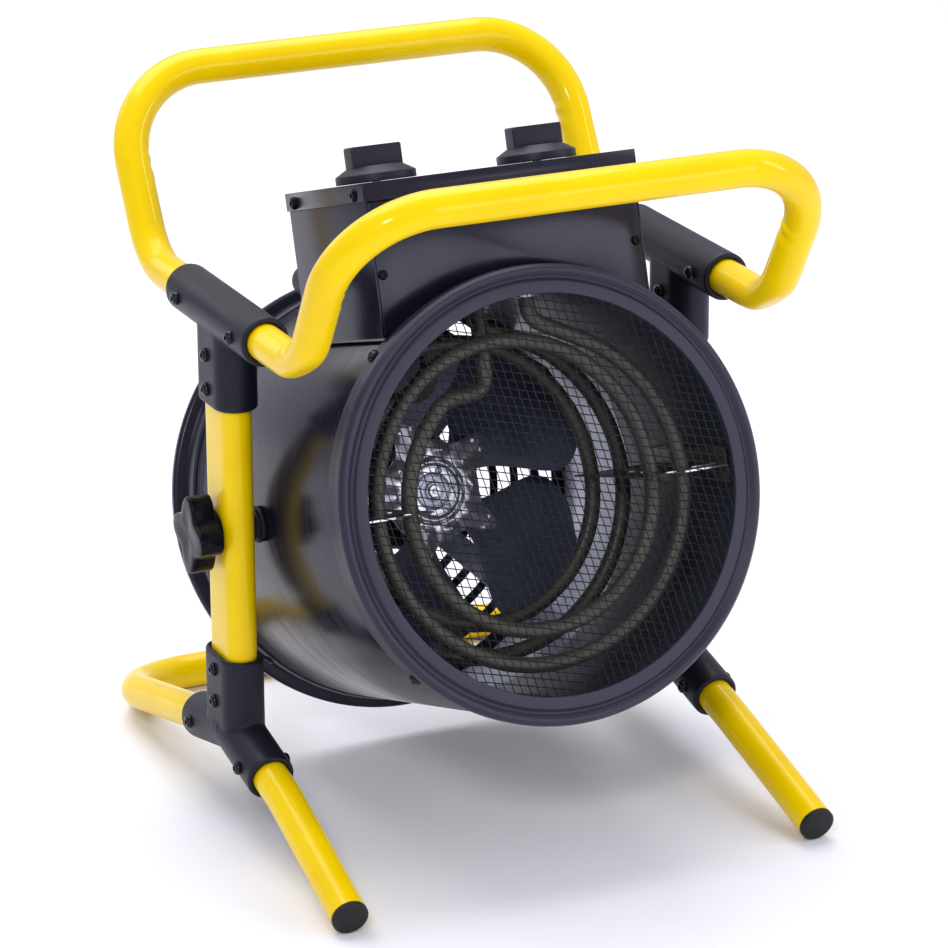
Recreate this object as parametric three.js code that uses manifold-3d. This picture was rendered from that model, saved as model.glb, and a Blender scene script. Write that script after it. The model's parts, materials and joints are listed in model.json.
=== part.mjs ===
// Portable drum fan heater on a tilting tubular stand, in millimetres, +Z up.
// The heater blows towards -Y, and +X is on the right of someone who looks at its front.
// Every piece of the drum is drawn in the drum's own frame, whose axis is Y, and the
// drum group then tilts it nose up about the two side pivots.

import * as THREE from 'three';
import { mergeVertices } from 'three/addons/utils/BufferGeometryUtils.js';
import Module from 'manifold-3d';

const wasm = await Module();
wasm.setup();

// Clearances and overruns
const seatGap = 0.3;
const overrun = 6;
const boltRunning = 0.6;
const weldDistance = 1e-4;

// Frame tubes
const tubeDiameter = 25;
const tubeWall = 1.5;
const frameHalfWidth = 169.2;
const tubeInTee = 42;

// Uprights, flat oval tubes
const uprightDepth = 46;
const uprightThickness = 22;
const uprightWall = 1.8;

// Moulded tees
const teeWall = 4;
const topTeeHeight = 364.5;
const topTeeReach = 69.6;
const topTeeDrop = 61.5;
const topTeeWeb = 12;
const footTeeReach = 62.7;
const footTeeEndHeight = 54.3;
const footTeeSlope = THREE.MathUtils.degToRad(12.8);
const footTeeTop = 125;
const footTeeWeb = 6;

// Tee bolts
const boltHeadRadius = 4.7;
const boltHeadHeight = 3.2;
const boltShankRadius = 2.4;
const topArmBoltAt = 48;
const topLegBoltDrops = [26.2, 50.2];
const footArmBoltAt = 45;
const footLegBoltDrops = [11.3, 34.6];

// Carrying handles
const handleReach = 200.9;
const handleHeight = 481.1;
const handleLean = THREE.MathUtils.degToRad(30);
const handleTeeBend = 46;
const handleCornerBend = 64;

// Feet
const frontFootReach = 204.6;
const frontFootStraight = 22;
const frontFootBend = 60;
const frontFootSplay = 3.8;
const slopePasses = 6;
const rearFootReach = 242;
const rearFootBend = 60;
const rearFootStraight = 6;
const rearFootFlatDepth = 0.3;
const capFlange = 2.5;
const capCrown = 3;
const capPlug = 12;
const capCrownShare = 0.8;
const capShoulderShare = 0.88;
const capEdgeShare = 0.25;

// Pivot of the drum
const pivotHeight = 213.2;
const restTilt = THREE.MathUtils.degToRad(17.15);
const pivotBoltRadius = 4;
const pivotHeadRadius = 9;
const pivotHeadHeight = 3;
const spacerRadius = 12.5;

// Star knobs that clamp the tilt
const starKnobRadius = 26.5;
const starKnobRoot = 17.5;
const starKnobLobes = 4;
const starKnobSteps = 48;
const starKnobFirstLobe = THREE.MathUtils.degToRad(71);
const starKnobDepth = 21;
const starKnobBossRadius = 15;
const starKnobBossDepth = 4.5;
const starKnobBore = 15;

// Drum
const sheet = 1.2;
const drumRadius = 148.6;
const drumRear = 146.3;

// Front ring
const ringFront = 159.5;
const ringLip = 8.5;
const ringBeadRadius = 152.4;
const ringSkirtDepth = 27;
const ringBeadDepth = 12.5;
const ringOpening = 132.7;
const ringFaceOuter = 142.6;
const ringGrooveRadius = 145.3;
const ringGrooveDepth = 3;

// Rear rim and rear guard
const rimBeadRadius = 157;
const rimSkirtDepth = 27;
const rimBeadDepth = 5.5;
const rimOpening = 140;
const guardSlot = 10.5;
const guardWeb = 6;
const guardFirstSlot = 28;
const guardSlotRows = 7;
const guardSectors = 4;
const guardSpoke = 8;

// Front grille of square mesh
const grilleDepth = 2.4;
const grilleRadius = 142;
const grilleRim = 8.4;
const grillePitch = 30;
const grilleWire = 2.6;

// Heat liner
const linerRadius = 141.6;
const linerRear = 22;

// Heating elements, each one tube wound into a flat spiral of two turns
const elementDiameter = 10.8;
const elementOuterTurn = 111.5;
const elementInnerTurn = 88.5;
const elementCentreLeft = 2.5;
const elementCentreDown = 1.5;
const elementSetback = 32.5;
const elementSpacing = 94;
const elementInletX = 11.5;
const elementOutletLeft = 18.5;
const elementOutletSetback = 15.4;
const elementTop = 162;
const elementBend = 14;
const elementShelf = 72.5;
const elementHoleRadius = 6.4;
const elementStartAngle = THREE.MathUtils.degToRad(26);
const elementEndAngle = THREE.MathUtils.degToRad(672);
const elementStepFrom = THREE.MathUtils.degToRad(312);
const elementStepTo = THREE.MathUtils.degToRad(450);
const elementLead = 17;
const selfGapSteps = 4;
const selfGapFarShare = 5;

// Element brackets
const bracketInner = 78;
const bracketTab = 24;
const bracketOverhang = 12;
const bracketHoleRadius = 6.8;

// Fan and motor
const fanPlane = 51.5;
const fanTipRadius = 126;
const fanHubRadius = 38;
const fanHubDepth = 5;
const fanBossRadius = 9.6;
const fanBossRise = 3;
const fanBossDepth = 10;
const fanBlades = 5;
const fanBladeAngle = THREE.MathUtils.degToRad(52);
const fanBladePitch = THREE.MathUtils.degToRad(27);
const fanBladeRoot = 30;
const fanBladeSheet = 1.6;
const fanBladeAcross = 4;
const fanBladeAlong = 3;
const fanTipNarrowShare = 0.25;
const fanTipStartShare = 0.75;
const fanTwistShare = 0.4;
const fanFirstBlade = THREE.MathUtils.degToRad(54);
const shaftRadius = 4;
const shaftRise = 9;
const motorRadius = 42;
const motorFront = 78;
const motorRear = 128;
const motorEdge = 6;
const motorEndShare = 0.86;
const motorPlateRadius = 29.4;
const motorTabDepth = 10;
const motorBossRadius = 14;
const motorBossDepth = 5;
const motorArmSheet = 2.5;
const motorArmWidth = 18;
const motorArms = 4;

// Control box
const boxHalfWidth = 97.7;
const boxRear = 1;
const boxSetback = 22.7;
const boxTop = 217.2;
const boxSideFoot = 117;
const boxFlange = 13;
const saddleSetback = 6.8;
const lidFlange = 12.2;
const panelDrop = 11.7;
const knobPlane = 67.5;
const knobSpacing = 59.3;
const spindleRadius = 3;
const spindleRise = 12;
const switchHalf = 20;
const switchDepth = 26;
const thermostatDepth = 21;
const terminalLength = 70;
const terminalWidth = 22;
const terminalHeight = 18;
const terminalSetback = 22.6;
const terminalWays = 5;
const terminalNotch = 7.3;
const glandRadius = 13;
const glandCapRadius = 11;
const glandLength = 38;
const glandNut = 8;
const glandFlange = 3;
const glandBore = 6.5;
const glandThread = 9.5;
const glandLeft = 78;
const glandHeight = 158;
const cutoutRadius = 9;
const cutoutHeight = 9;
const cutoutX = 45;
const cutoutPlane = 66;

// Dial knobs
const knobRadius = 27.2;
const knobSkirt = 4.5;
const knobShoulder = 5.5;
const knobGripLength = 36.5;
const knobGripWidth = 15;
const knobGripHeight = 13.5;
const knobLift = 2;

// Facet counts
const drumSides = 36;
const tubeSides = 12;
const boreSides = 8;
const roundSides = 16;
const boltSides = 8;
const holeSides = 6;
const ovalSteps = 4;
const bendStep = THREE.MathUtils.degToRad(20);
const spiralSteps = 24;
const elementSides = 6;
const slotSteps = 3;
const motorSides = 24;
const knobSides = 24;

// Sizes that follow from the ones above
const tubeRadius = tubeDiameter / 2;
const teeRadius = tubeRadius + seatGap + teeWall;
const teeLegHalf = uprightThickness / 2 + seatGap + teeWall;
const footTeeHeight = footTeeEndHeight + footTeeReach * Math.tan(footTeeSlope);
const uprightTop = topTeeHeight - topTeeWeb - seatGap;
const uprightBottom = footTeeHeight + footTeeWeb;
const drumFront = ringFront - ringLip;
const boxFront = ringFront - boxSetback;
const drumBore = drumRadius - sheet;
const skirtBore = drumRadius + seatGap;
const skirtRadius = skirtBore + sheet;
const ringInnerFace = ringFront - sheet - seatGap;
const grilleBack = ringInnerFace - seatGap - grilleDepth;
const linerBore = linerRadius - sheet;
const frontElementPlane = ringFront - elementSetback;
const elementPlanes = [frontElementPlane, frontElementPlane - elementSpacing];
const elementCentreX = -elementCentreLeft;
const terminalPlane = frontElementPlane - terminalSetback;
const elementCentreUp = -elementCentreDown;
const elementOutletX = -elementOutletLeft;
const panelTop = boxTop - panelDrop;
const glandX = -glandLeft;
const saddleRadius = drumRadius + seatGap;
const uprightInner = frameHalfWidth - uprightThickness / 2;
const uprightOuter = frameHalfWidth + uprightThickness / 2;
const rearReach = rearFootReach + tubeRadius;

// Looks
const finishes = {
  yellowFrame: { color: 0xf2d200, roughness: 0.3, metalness: 0.1 },
  blackTee: { color: 0x2a2a31, roughness: 0.5, metalness: 0 },
  drumBlack: { color: 0x2c2c36, roughness: 0.4, metalness: 0.1 },
  ringGrey: { color: 0x3c3c4a, roughness: 0.45, metalness: 0.1 },
  knobBlack: { color: 0x26262c, roughness: 0.45, metalness: 0 },
  starKnob: { color: 0x16161a, roughness: 0.15, metalness: 0 },
  boltSteel: { color: 0x303036, roughness: 0.35, metalness: 0.7 },
  elementSteel: { color: 0x4a4a40, roughness: 0.5, metalness: 0.5 },
  paleSheet: { color: 0xa9acb4, roughness: 0.35, metalness: 0.7 },
  brightMetal: { color: 0xc4c6cc, roughness: 0.25, metalness: 0.9 },
  motorBlack: { color: 0x1d1d20, roughness: 0.5, metalness: 0.2 },
  paleCeramic: { color: 0xe6e0d2, roughness: 0.6, metalness: 0 },
  rubber: { color: 0x1a1a1a, roughness: 0.8, metalness: 0 },
};

// Solids and meshes

/** Signed volume of a triangle mesh, positive when its faces point outwards. */
function signedVolume(geometry) {
  const position = geometry.attributes.position;
  const index = geometry.index;
  const corners = [new THREE.Vector3(), new THREE.Vector3(), new THREE.Vector3()];
  let volume = 0;
  for (let i = 0; i < index.count; i += 3) {
    corners.forEach((corner, k) => corner.fromBufferAttribute(position, index.getX(i + k)));
    volume += corners[0].dot(corners[1].clone().cross(corners[2])) / 6;
  }
  return volume;
}

/** Closed geometry with shared corners whose faces point outwards. */
function sealed(geometry) {
  const bare = geometry.clone();
  bare.deleteAttribute('normal');
  bare.deleteAttribute('uv');
  const merged = mergeVertices(bare, weldDistance);
  const kept = [];
  const index = merged.index;
  for (let i = 0; i < index.count; i += 3) {
    const face = [index.getX(i), index.getX(i + 1), index.getX(i + 2)];
    if (new Set(face).size === 3) kept.push(...face);
  }
  merged.setIndex(kept);
  if (signedVolume(merged) < 0) {
    for (let i = 0; i < kept.length; i += 3) [kept[i], kept[i + 1]] = [kept[i + 1], kept[i]];
    merged.setIndex(kept);
  }
  return merged;
}

/** Manifold solid of a closed geometry. */
function solid(geometry) {
  const closed = sealed(geometry);
  const mesh = new wasm.Mesh({
    numProp: 3,
    vertProperties: new Float32Array(closed.attributes.position.array),
    triVerts: new Uint32Array(closed.index.array),
  });
  return new wasm.Manifold(mesh);
}

/** Geometry of a manifold solid. */
function geometryOf(manifold) {
  const mesh = manifold.getMesh();
  const geometry = new THREE.BufferGeometry();
  const points = new Float32Array(mesh.numVert * 3);
  for (let i = 0; i < mesh.numVert; i += 1) {
    for (let k = 0; k < 3; k += 1) points[3 * i + k] = mesh.vertProperties[mesh.numProp * i + k];
  }
  geometry.setAttribute('position', new THREE.BufferAttribute(points, 3));
  geometry.setIndex(Array.from(mesh.triVerts));
  return geometry;
}

/** Joins the first solids and cuts the second ones from them. */
function carve(bodies, cutters = []) {
  const body = bodies.map(solid).reduce((sum, next) => sum.add(next));
  const whole = cutters.map(solid).reduce((rest, next) => rest.subtract(next), body);
  return geometryOf(whole);
}

/** Block between two corners. */
function block(low, high) {
  const size = high.map((value, k) => value - low[k]);
  const centre = high.map((value, k) => (value + low[k]) / 2);
  return new THREE.BoxGeometry(...size).translate(...centre);
}

/** Round bar of a radius between two points. */
function bar(from, to, radius, sides = roundSides) {
  const start = new THREE.Vector3(...from);
  const along = new THREE.Vector3(...to).sub(start);
  const length = along.length();
  const turn = new THREE.Quaternion().setFromUnitVectors(new THREE.Vector3(0, 1, 0), along.normalize());
  const middle = start.addScaledVector(along, length / 2);
  const place = new THREE.Matrix4().compose(middle, turn, new THREE.Vector3(1, 1, 1));
  return new THREE.CylinderGeometry(radius, radius, length, sides).applyMatrix4(place);
}

/** Solid turned about the Y axis from [radius, forward] points, forward being -Y. */
function turned(profile, sides = drumSides) {
  const points = profile.map(([radius, forward]) => new THREE.Vector2(radius, -forward));
  return new THREE.LatheGeometry(points, sides);
}

/** Ring turned about the Y axis, its profile closed on itself. */
function turnedRing(profile, sides = drumSides) {
  return turned([...profile, profile[0]], sides);
}

/** Plain pipe about the Y axis between two forward places. */
function pipe(outer, inner, front, rear) {
  return turnedRing([[outer, front], [outer, rear], [inner, rear], [inner, front]]);
}

/** Disc about the Y axis, a solid cylinder with the drum's facets. */
function disc(radius, front, rear, sides = drumSides) {
  return turned([[0, front], [radius, front], [radius, rear], [0, rear]], sides);
}

/** Flat oval outline, two half circles joined by straight sides. */
function ovalShape(depth, thickness) {
  const radius = thickness / 2;
  const reach = depth / 2 - radius;
  const points = [];
  for (const side of [1, -1]) {
    for (let i = 0; i <= ovalSteps; i += 1) {
      const angle = side * Math.PI / 2 - Math.PI / 2 + (Math.PI * i) / ovalSteps;
      points.push(new THREE.Vector2(radius * Math.cos(angle), side * reach + radius * Math.sin(angle)));
    }
  }
  return new THREE.Shape(points);
}

/** Upright oval bar between two heights, its long way along Y, with an optional bore. */
function ovalBar(x, low, high, depth, thickness, wall = 0) {
  const shape = ovalShape(depth, thickness);
  if (wall > 0) shape.holes.push(ovalShape(depth - 2 * wall, thickness - 2 * wall));
  const geometry = new THREE.ExtrudeGeometry(shape, { depth: high - low, bevelEnabled: false });
  return geometry.translate(x, 0, low);
}

/** Path that passes through its own stations, one step of a sweep between each two. */
class StationPath extends THREE.Curve {
  constructor(stations) {
    super();
    this.stations = stations;
  }

  getPoint(t, target = new THREE.Vector3()) {
    const place = t * (this.stations.length - 1);
    const index = Math.min(Math.floor(place), this.stations.length - 2);
    return target.lerpVectors(this.stations[index], this.stations[index + 1], place - index);
  }

  getPointAt(u, target) {
    return this.getPoint(u, target);
  }

  getTangentAt(u, target = new THREE.Vector3()) {
    const last = this.stations.length - 1;
    const index = Math.round(u * last);
    const before = this.stations[Math.max(index - 1, 0)];
    const after = this.stations[Math.min(index + 1, last)];
    const here = this.stations[index];
    const arriving = here.clone().sub(before).normalize();
    const leaving = after.clone().sub(here).normalize();
    return target.copy(arriving).add(leaving).normalize();
  }
}

/** Circle of straight facets. */
function roundShape(radius, sides) {
  const points = Array.from({ length: sides }, (_, i) => {
    const angle = (2 * Math.PI * i) / sides;
    return new THREE.Vector2(radius * Math.cos(angle), radius * Math.sin(angle));
  });
  return new THREE.Shape(points);
}

/** Round rod or tube swept along stations. */
function swept(stations, radius, wall = 0, sides = tubeSides) {
  const shape = roundShape(radius, sides);
  if (wall > 0) shape.holes.push(roundShape(radius - wall, boreSides));
  return new THREE.ExtrudeGeometry(shape, {
    steps: stations.length - 1,
    bevelEnabled: false,
    extrudePath: new StationPath(stations),
  });
}

/** Stations of a path through corners, each inner corner rounded to its bend radius. */
function bentStations(corners, radii) {
  const points = corners.map((corner) => new THREE.Vector3(...corner));
  const stations = [points[0]];
  for (let i = 1; i < points.length - 1; i += 1) {
    const arriving = points[i].clone().sub(points[i - 1]).normalize();
    const leaving = points[i + 1].clone().sub(points[i]).normalize();
    const angle = arriving.angleTo(leaving);
    const radius = radii[i - 1];
    const start = points[i].clone().addScaledVector(arriving, -radius * Math.tan(angle / 2));
    const inward = leaving.clone().addScaledVector(arriving, -Math.cos(angle)).normalize();
    const steps = Math.max(1, Math.ceil(angle / bendStep));
    for (let k = 0; k <= steps; k += 1) {
      const turn = (angle * k) / steps;
      const point = start.clone().addScaledVector(arriving, radius * Math.sin(turn));
      stations.push(point.addScaledVector(inward, radius * (1 - Math.cos(turn))));
    }
  }
  stations.push(points[points.length - 1]);
  return stations;
}

/** Adds a named mesh of a closed geometry to a group. */
function addPiece(group, name, geometry, finish) {
  const mesh = new THREE.Mesh(sealed(geometry), new THREE.MeshStandardMaterial(finishes[finish]));
  mesh.name = name;
  group.add(mesh);
  return mesh;
}

// Frame

/** Direction and places of a foot tee's arm on the front (-1) or the rear (1). */
function footArm(x, way) {
  const along = [0, way * Math.cos(footTeeSlope), -Math.sin(footTeeSlope)];
  const end = [x, way * footTeeReach, footTeeEndHeight];
  const back = (length) => end.map((value, k) => value - along[k] * length);
  return { along, end, back };
}

/** Places of the bolts of one tee: [name part, y, z, half length under the heads]. */
function teeBoltPlaces(level) {
  if (level === 'top') {
    return [
      ['front', -topArmBoltAt, topTeeHeight, teeRadius],
      ['rear', topArmBoltAt, topTeeHeight, teeRadius],
      ['upper', 0, topTeeHeight - topLegBoltDrops[0], teeLegHalf],
      ['lower', 0, topTeeHeight - topLegBoltDrops[1], teeLegHalf],
    ];
  }
  const armBoltHeight = footTeeHeight - footArmBoltAt * Math.tan(footTeeSlope);
  return [
    ['front', -footArmBoltAt, armBoltHeight, teeRadius],
    ['rear', footArmBoltAt, armBoltHeight, teeRadius],
    ['upper', 0, footTeeTop - footLegBoltDrops[0], teeLegHalf],
    ['lower', 0, footTeeTop - footLegBoltDrops[1], teeLegHalf],
  ];
}

/** Holes along X for the bolts of one tee. */
function teeBoltHoles(side, level) {
  const x = side * frameHalfWidth;
  const radius = boltShankRadius + boltRunning;
  return teeBoltPlaces(level).map(([, y, z]) => (
    bar([x - teeRadius - overrun, y, z], [x + teeRadius + overrun, y, z], radius, holeSides)
  ));
}

/** Top tee: a level sleeve for both handles on a flat oval sleeve for the upright. */
function topTee(side) {
  const x = side * frameHalfWidth;
  const leg = topTeeHeight - topTeeDrop;
  const sleeveDepth = uprightDepth + 2 * (seatGap + teeWall);
  const bodies = [
    bar([x, -topTeeReach, topTeeHeight], [x, topTeeReach, topTeeHeight], teeRadius),
    ovalBar(x, leg, topTeeHeight, sleeveDepth, 2 * teeLegHalf),
  ];
  const bores = [-1, 1].map((way) => bar(
    [x, way * (topTeeReach - tubeInTee), topTeeHeight],
    [x, way * (topTeeReach + overrun), topTeeHeight],
    tubeRadius + seatGap,
  ));
  const legBore = ovalBar(
    x, leg - overrun, topTeeHeight - topTeeWeb, uprightDepth + 2 * seatGap, uprightThickness + 2 * seatGap,
  );
  return carve(bodies, [...bores, legBore, ...teeBoltHoles(side, 'top')]);
}

/** Foot tee: two sleeves that slope down to the feet under an oval socket for the upright. */
function footTee(side) {
  const x = side * frameHalfWidth;
  const sleeveDepth = uprightDepth + 2 * (seatGap + teeWall);
  const overlap = teeRadius * Math.tan(footTeeSlope);
  const armLength = footTeeReach / Math.cos(footTeeSlope) + overlap;
  const arms = [-1, 1].map((way) => {
    const arm = footArm(x, way);
    return bar(arm.back(armLength), arm.end, teeRadius);
  });
  const bores = [-1, 1].map((way) => {
    const arm = footArm(x, way);
    return bar(arm.back(tubeInTee), arm.back(-overrun), tubeRadius + seatGap);
  });
  const socket = ovalBar(x, footTeeHeight, footTeeTop, sleeveDepth, 2 * teeLegHalf);
  const socketBore = ovalBar(
    x, uprightBottom - seatGap, footTeeTop + overrun,
    uprightDepth + 2 * seatGap, uprightThickness + 2 * seatGap,
  );
  return carve([...arms, socket], [...bores, socketBore, ...teeBoltHoles(side, 'foot')]);
}

/** Upright: flat oval tube with its bolt holes and the pivot hole. */
function upright(side) {
  const x = side * frameHalfWidth;
  const tube = ovalBar(x, uprightBottom, uprightTop, uprightDepth, uprightThickness, uprightWall);
  const pivot = bar(
    [x - uprightThickness, 0, pivotHeight], [x + uprightThickness, 0, pivotHeight],
    pivotBoltRadius + boltRunning, boltSides,
  );
  return carve([tube], [pivot, ...teeBoltHoles(side, 'top'), ...teeBoltHoles(side, 'foot')]);
}

/** Through bolt of a tee with a domed head on both of its sides. */
function teeBolt(side, [, y, z, half]) {
  const seat = half + seatGap / 2;
  const crown = seat + boltHeadHeight;
  const rim = seat + boltHeadHeight / 2;
  const profile = [
    [0, crown], [boltHeadRadius, rim],
    [boltHeadRadius, seat], [boltShankRadius, seat],
    [boltShankRadius, -seat], [boltHeadRadius, -seat],
    [boltHeadRadius, -rim], [0, -crown],
  ];
  const geometry = turned(profile, boltSides);
  geometry.rotateZ(Math.PI / 2);
  return geometry.translate(side * frameHalfWidth, y, z);
}

/** Carrying handle on the front (-1) or the rear (1), one bent tube between the top tees. */
function handle(way) {
  const lean = (handleHeight - topTeeHeight) * Math.tan(handleLean);
  const inner = topTeeReach - tubeInTee + seatGap;
  const half = [
    [-frameHalfWidth, way * inner, topTeeHeight],
    [-frameHalfWidth, way * (handleReach - lean), topTeeHeight],
    [-frameHalfWidth, way * handleReach, handleHeight],
  ];
  const mirrored = half.map(([x, y, z]) => [-x, y, z]).reverse();
  const radii = [handleTeeBend, handleCornerBend, handleCornerBend, handleTeeBend];
  const tube = swept(bentStations([...half, ...mirrored], radii), tubeRadius, tubeWall);
  const holes = [-1, 1].flatMap((side) => teeBoltHoles(side, 'top').slice(0, 2));
  return carve([tube], holes);
}

/** Line of a front foot: where it starts, bends and ends, and its slope to the floor. */
function frontFootLine(side) {
  const x = side * frameHalfWidth;
  const arm = footArm(x, -1);
  const start = arm.back(tubeInTee - seatGap);
  const bend = arm.back(-frontFootStraight);
  const reach = -frontFootReach;
  let slope = footTeeSlope;
  for (let i = 0; i < slopePasses; i += 1) {
    slope = Math.atan2(bend[2] - tubeRadius * Math.cos(slope), bend[1] - reach);
  }
  const end = [x + side * frontFootSplay, reach, tubeRadius * Math.cos(slope)];
  const along = new THREE.Vector3(...end).sub(new THREE.Vector3(...bend)).normalize();
  return { start, bend, end, along };
}

/** Front foot: a tube from the foot tee down to the floor. */
function frontFoot(side) {
  const { start, bend, end, along } = frontFootLine(side);
  const tubeEnd = new THREE.Vector3(...end).addScaledVector(along, -capFlange - seatGap);
  const stations = bentStations([start, bend, tubeEnd.toArray()], [frontFootBend]);
  return carve([swept(stations, tubeRadius, tubeWall)], teeBoltHoles(side, 'foot').slice(0, 1));
}

/** Domed plug that closes the end of a front foot. */
function footCap(side) {
  const { end, along } = frontFootLine(side);
  const plug = tubeRadius - tubeWall - seatGap;
  const profile = [
    [0, capCrown], [tubeRadius / 2, capCrown * capCrownShare],
    [tubeRadius * capShoulderShare, capCrown * capEdgeShare], [tubeRadius, 0],
    [tubeRadius, -capFlange], [plug * Math.cos(Math.PI / boreSides), -capFlange],
    [plug * Math.cos(Math.PI / boreSides), -capFlange - capPlug], [0, -capFlange - capPlug],
  ];
  const geometry = turned(profile, roundSides);
  const turn = new THREE.Quaternion().setFromUnitVectors(new THREE.Vector3(0, -1, 0), along);
  return geometry.applyQuaternion(turn).translate(...end);
}

/** Rear foot: one tube from tee to tee, its crossbar flat where it rests on the floor. */
function rearFoot() {
  const barHeight = tubeRadius * Math.cos(Math.PI / tubeSides) - rearFootFlatDepth;
  const half = [
    footArm(-frameHalfWidth, 1).back(tubeInTee - seatGap),
    footArm(-frameHalfWidth, 1).back(-rearFootStraight),
    [-frameHalfWidth, rearFootReach, barHeight],
  ];
  const mirrored = half.map(([x, y, z]) => [-x, y, z]).reverse();
  const radii = [rearFootBend, rearFootBend, rearFootBend, rearFootBend];
  const stations = bentStations([...half, ...mirrored], radii);
  const tube = swept(stations, tubeRadius, tubeWall);
  const holes = [-1, 1].map((side) => teeBoltHoles(side, 'foot')[1]);
  const reach = frameHalfWidth + tubeDiameter;
  const floor = block([-reach, 0, -tubeDiameter], [reach, rearReach + overrun, 0]);
  return carve([tube], [...holes, floor]);
}

/** Washer stack between the drum and one upright. */
function pivotSpacer(side) {
  const inner = side * (drumRadius + seatGap);
  const outer = side * (uprightInner - seatGap);
  const hole = pivotBoltRadius + boltRunning;
  const past = side * overrun;
  return carve(
    [bar([inner, 0, pivotHeight], [outer, 0, pivotHeight], spacerRadius)],
    [bar([inner - past, 0, pivotHeight], [outer + past, 0, pivotHeight], hole, boltSides)],
  );
}

/** Builds every piece of the stand. */
function buildFrame(group) {
  for (const [sideName, side] of [['left', -1], ['right', 1]]) {
    addPiece(group, `${sideName}_upright`, upright(side), 'yellowFrame');
    addPiece(group, `${sideName}_top_tee`, topTee(side), 'blackTee');
    addPiece(group, `${sideName}_foot_tee`, footTee(side), 'blackTee');
    addPiece(group, `front_${sideName}_foot`, frontFoot(side), 'yellowFrame');
    addPiece(group, `${sideName}_foot_cap`, footCap(side), 'rubber');
    addPiece(group, `${sideName}_pivot_spacer`, pivotSpacer(side), 'blackTee');
    for (const level of ['top', 'foot']) {
      for (const place of teeBoltPlaces(level)) {
        addPiece(group, `${sideName}_${level}_${place[0]}_bolt`, teeBolt(side, place), 'boltSteel');
      }
    }
  }
  addPiece(group, 'front_handle', handle(-1), 'yellowFrame');
  addPiece(group, 'rear_handle', handle(1), 'yellowFrame');
  addPiece(group, 'rear_foot', rearFoot(), 'yellowFrame');
}

// Drum

/** Holes through liner, drum and box for the four element tubes. */
function elementHoles() {
  return elementPlanes.flatMap((plane) => [
    [elementInletX, plane],
    [elementOutletX, plane - elementOutletSetback],
  ]).map(([x, forward]) => bar(
    [x, -forward, drumRadius - 4 * overrun], [x, -forward, elementTop + overrun],
    elementHoleRadius, boltSides,
  ));
}

/** Holes along X for the pivot bolts in the drum's own frame. */
function pivotHoles() {
  return [-1, 1].map((side) => bar(
    [side * (linerRadius - overrun), 0, 0], [side * (drumRadius + overrun), 0, 0],
    pivotBoltRadius + boltRunning, boltSides,
  ));
}

/** Drum shell, an open pipe. */
function drumShell() {
  return carve([pipe(drumRadius, drumBore, drumFront, -drumRear)], [...elementHoles(), ...pivotHoles()]);
}

/** Front ring with a rolled bead, a groove, a flat face and a skirt over the drum. */
function frontRing() {
  const skirtRear = ringFront - ringSkirtDepth;
  const beadRear = ringFront - ringBeadDepth;
  const beadCrown = (ringBeadRadius + ringGrooveRadius) / 2;
  return turnedRing([
    [skirtRadius, skirtRear], [skirtRadius, beadRear], [ringBeadRadius, beadRear + sheet],
    [ringBeadRadius, ringFront - 4 * sheet], [beadCrown, ringFront - sheet / 2],
    [ringGrooveRadius, ringFront - ringGrooveDepth], [ringFaceOuter, ringFront - sheet / 2],
    [ringOpening + 2 * sheet, ringFront], [ringOpening, ringFront - sheet],
    [ringOpening + sheet, ringFront - 1.5 * sheet], [ringFaceOuter, ringFront - 1.5 * sheet],
    [ringGrooveRadius, ringFront - ringGrooveDepth - sheet], [beadCrown, ringFront - 2 * sheet],
    [ringBeadRadius - sheet, ringFront - 5 * sheet], [ringBeadRadius - sheet, beadRear + 2 * sheet],
    [skirtBore, beadRear + sheet], [skirtBore, skirtRear],
  ]);
}

/** Rear rim with a bead outside and a flange that holds the rear guard. */
function rearRim() {
  const rear = drumRear + 2 * sheet + 2 * seatGap;
  return turnedRing([
    [skirtRadius, -(rear - rimSkirtDepth)], [skirtRadius, -(rear - rimBeadDepth)],
    [rimBeadRadius, -(rear - rimBeadDepth + sheet)], [rimBeadRadius, -(rear - sheet)],
    [rimBeadRadius - 2 * sheet, -rear], [rimOpening, -rear],
    [rimOpening, -(rear - sheet)], [skirtBore, -(rear - sheet)],
    [skirtBore, -(rear - rimSkirtDepth)],
  ]);
}

/** Outline of one slot, a part of a ring between two angles. */
function slotShape(inner, outer, from, to) {
  const points = [];
  for (let i = 0; i <= slotSteps; i += 1) {
    const angle = from + ((to - from) * i) / slotSteps;
    points.push(new THREE.Vector2(outer * Math.cos(angle), outer * Math.sin(angle)));
  }
  for (let i = slotSteps; i >= 0; i -= 1) {
    const angle = from + ((to - from) * i) / slotSteps;
    points.push(new THREE.Vector2(inner * Math.cos(angle), inner * Math.sin(angle)));
  }
  return new THREE.Shape(points);
}

/** Turns a flat outline in the XZ plane into a plate whose front is at a forward place. */
function plate(shape, front, depth) {
  const geometry = new THREE.ExtrudeGeometry(shape, { depth, bevelEnabled: false });
  geometry.rotateX(Math.PI / 2);
  return geometry.translate(0, depth - front, 0);
}

/** Rear guard, a pressed disc with rows of slots about its centre. */
function rearGuard() {
  const front = -drumRear - seatGap;
  const slots = [];
  for (let row = 0; row < guardSlotRows; row += 1) {
    const inner = guardFirstSlot + row * (guardSlot + guardWeb);
    const half = Math.PI / guardSectors - guardSpoke / 2 / inner;
    for (let sector = 0; sector < guardSectors; sector += 1) {
      const middle = (sector * 2 * Math.PI) / guardSectors;
      const shape = slotShape(inner, inner + guardSlot, middle - half, middle + half);
      slots.push(plate(shape, front + overrun, sheet + 2 * overrun));
    }
  }
  return carve([disc(drumRadius - seatGap, front, front - sheet)], slots);
}

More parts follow.
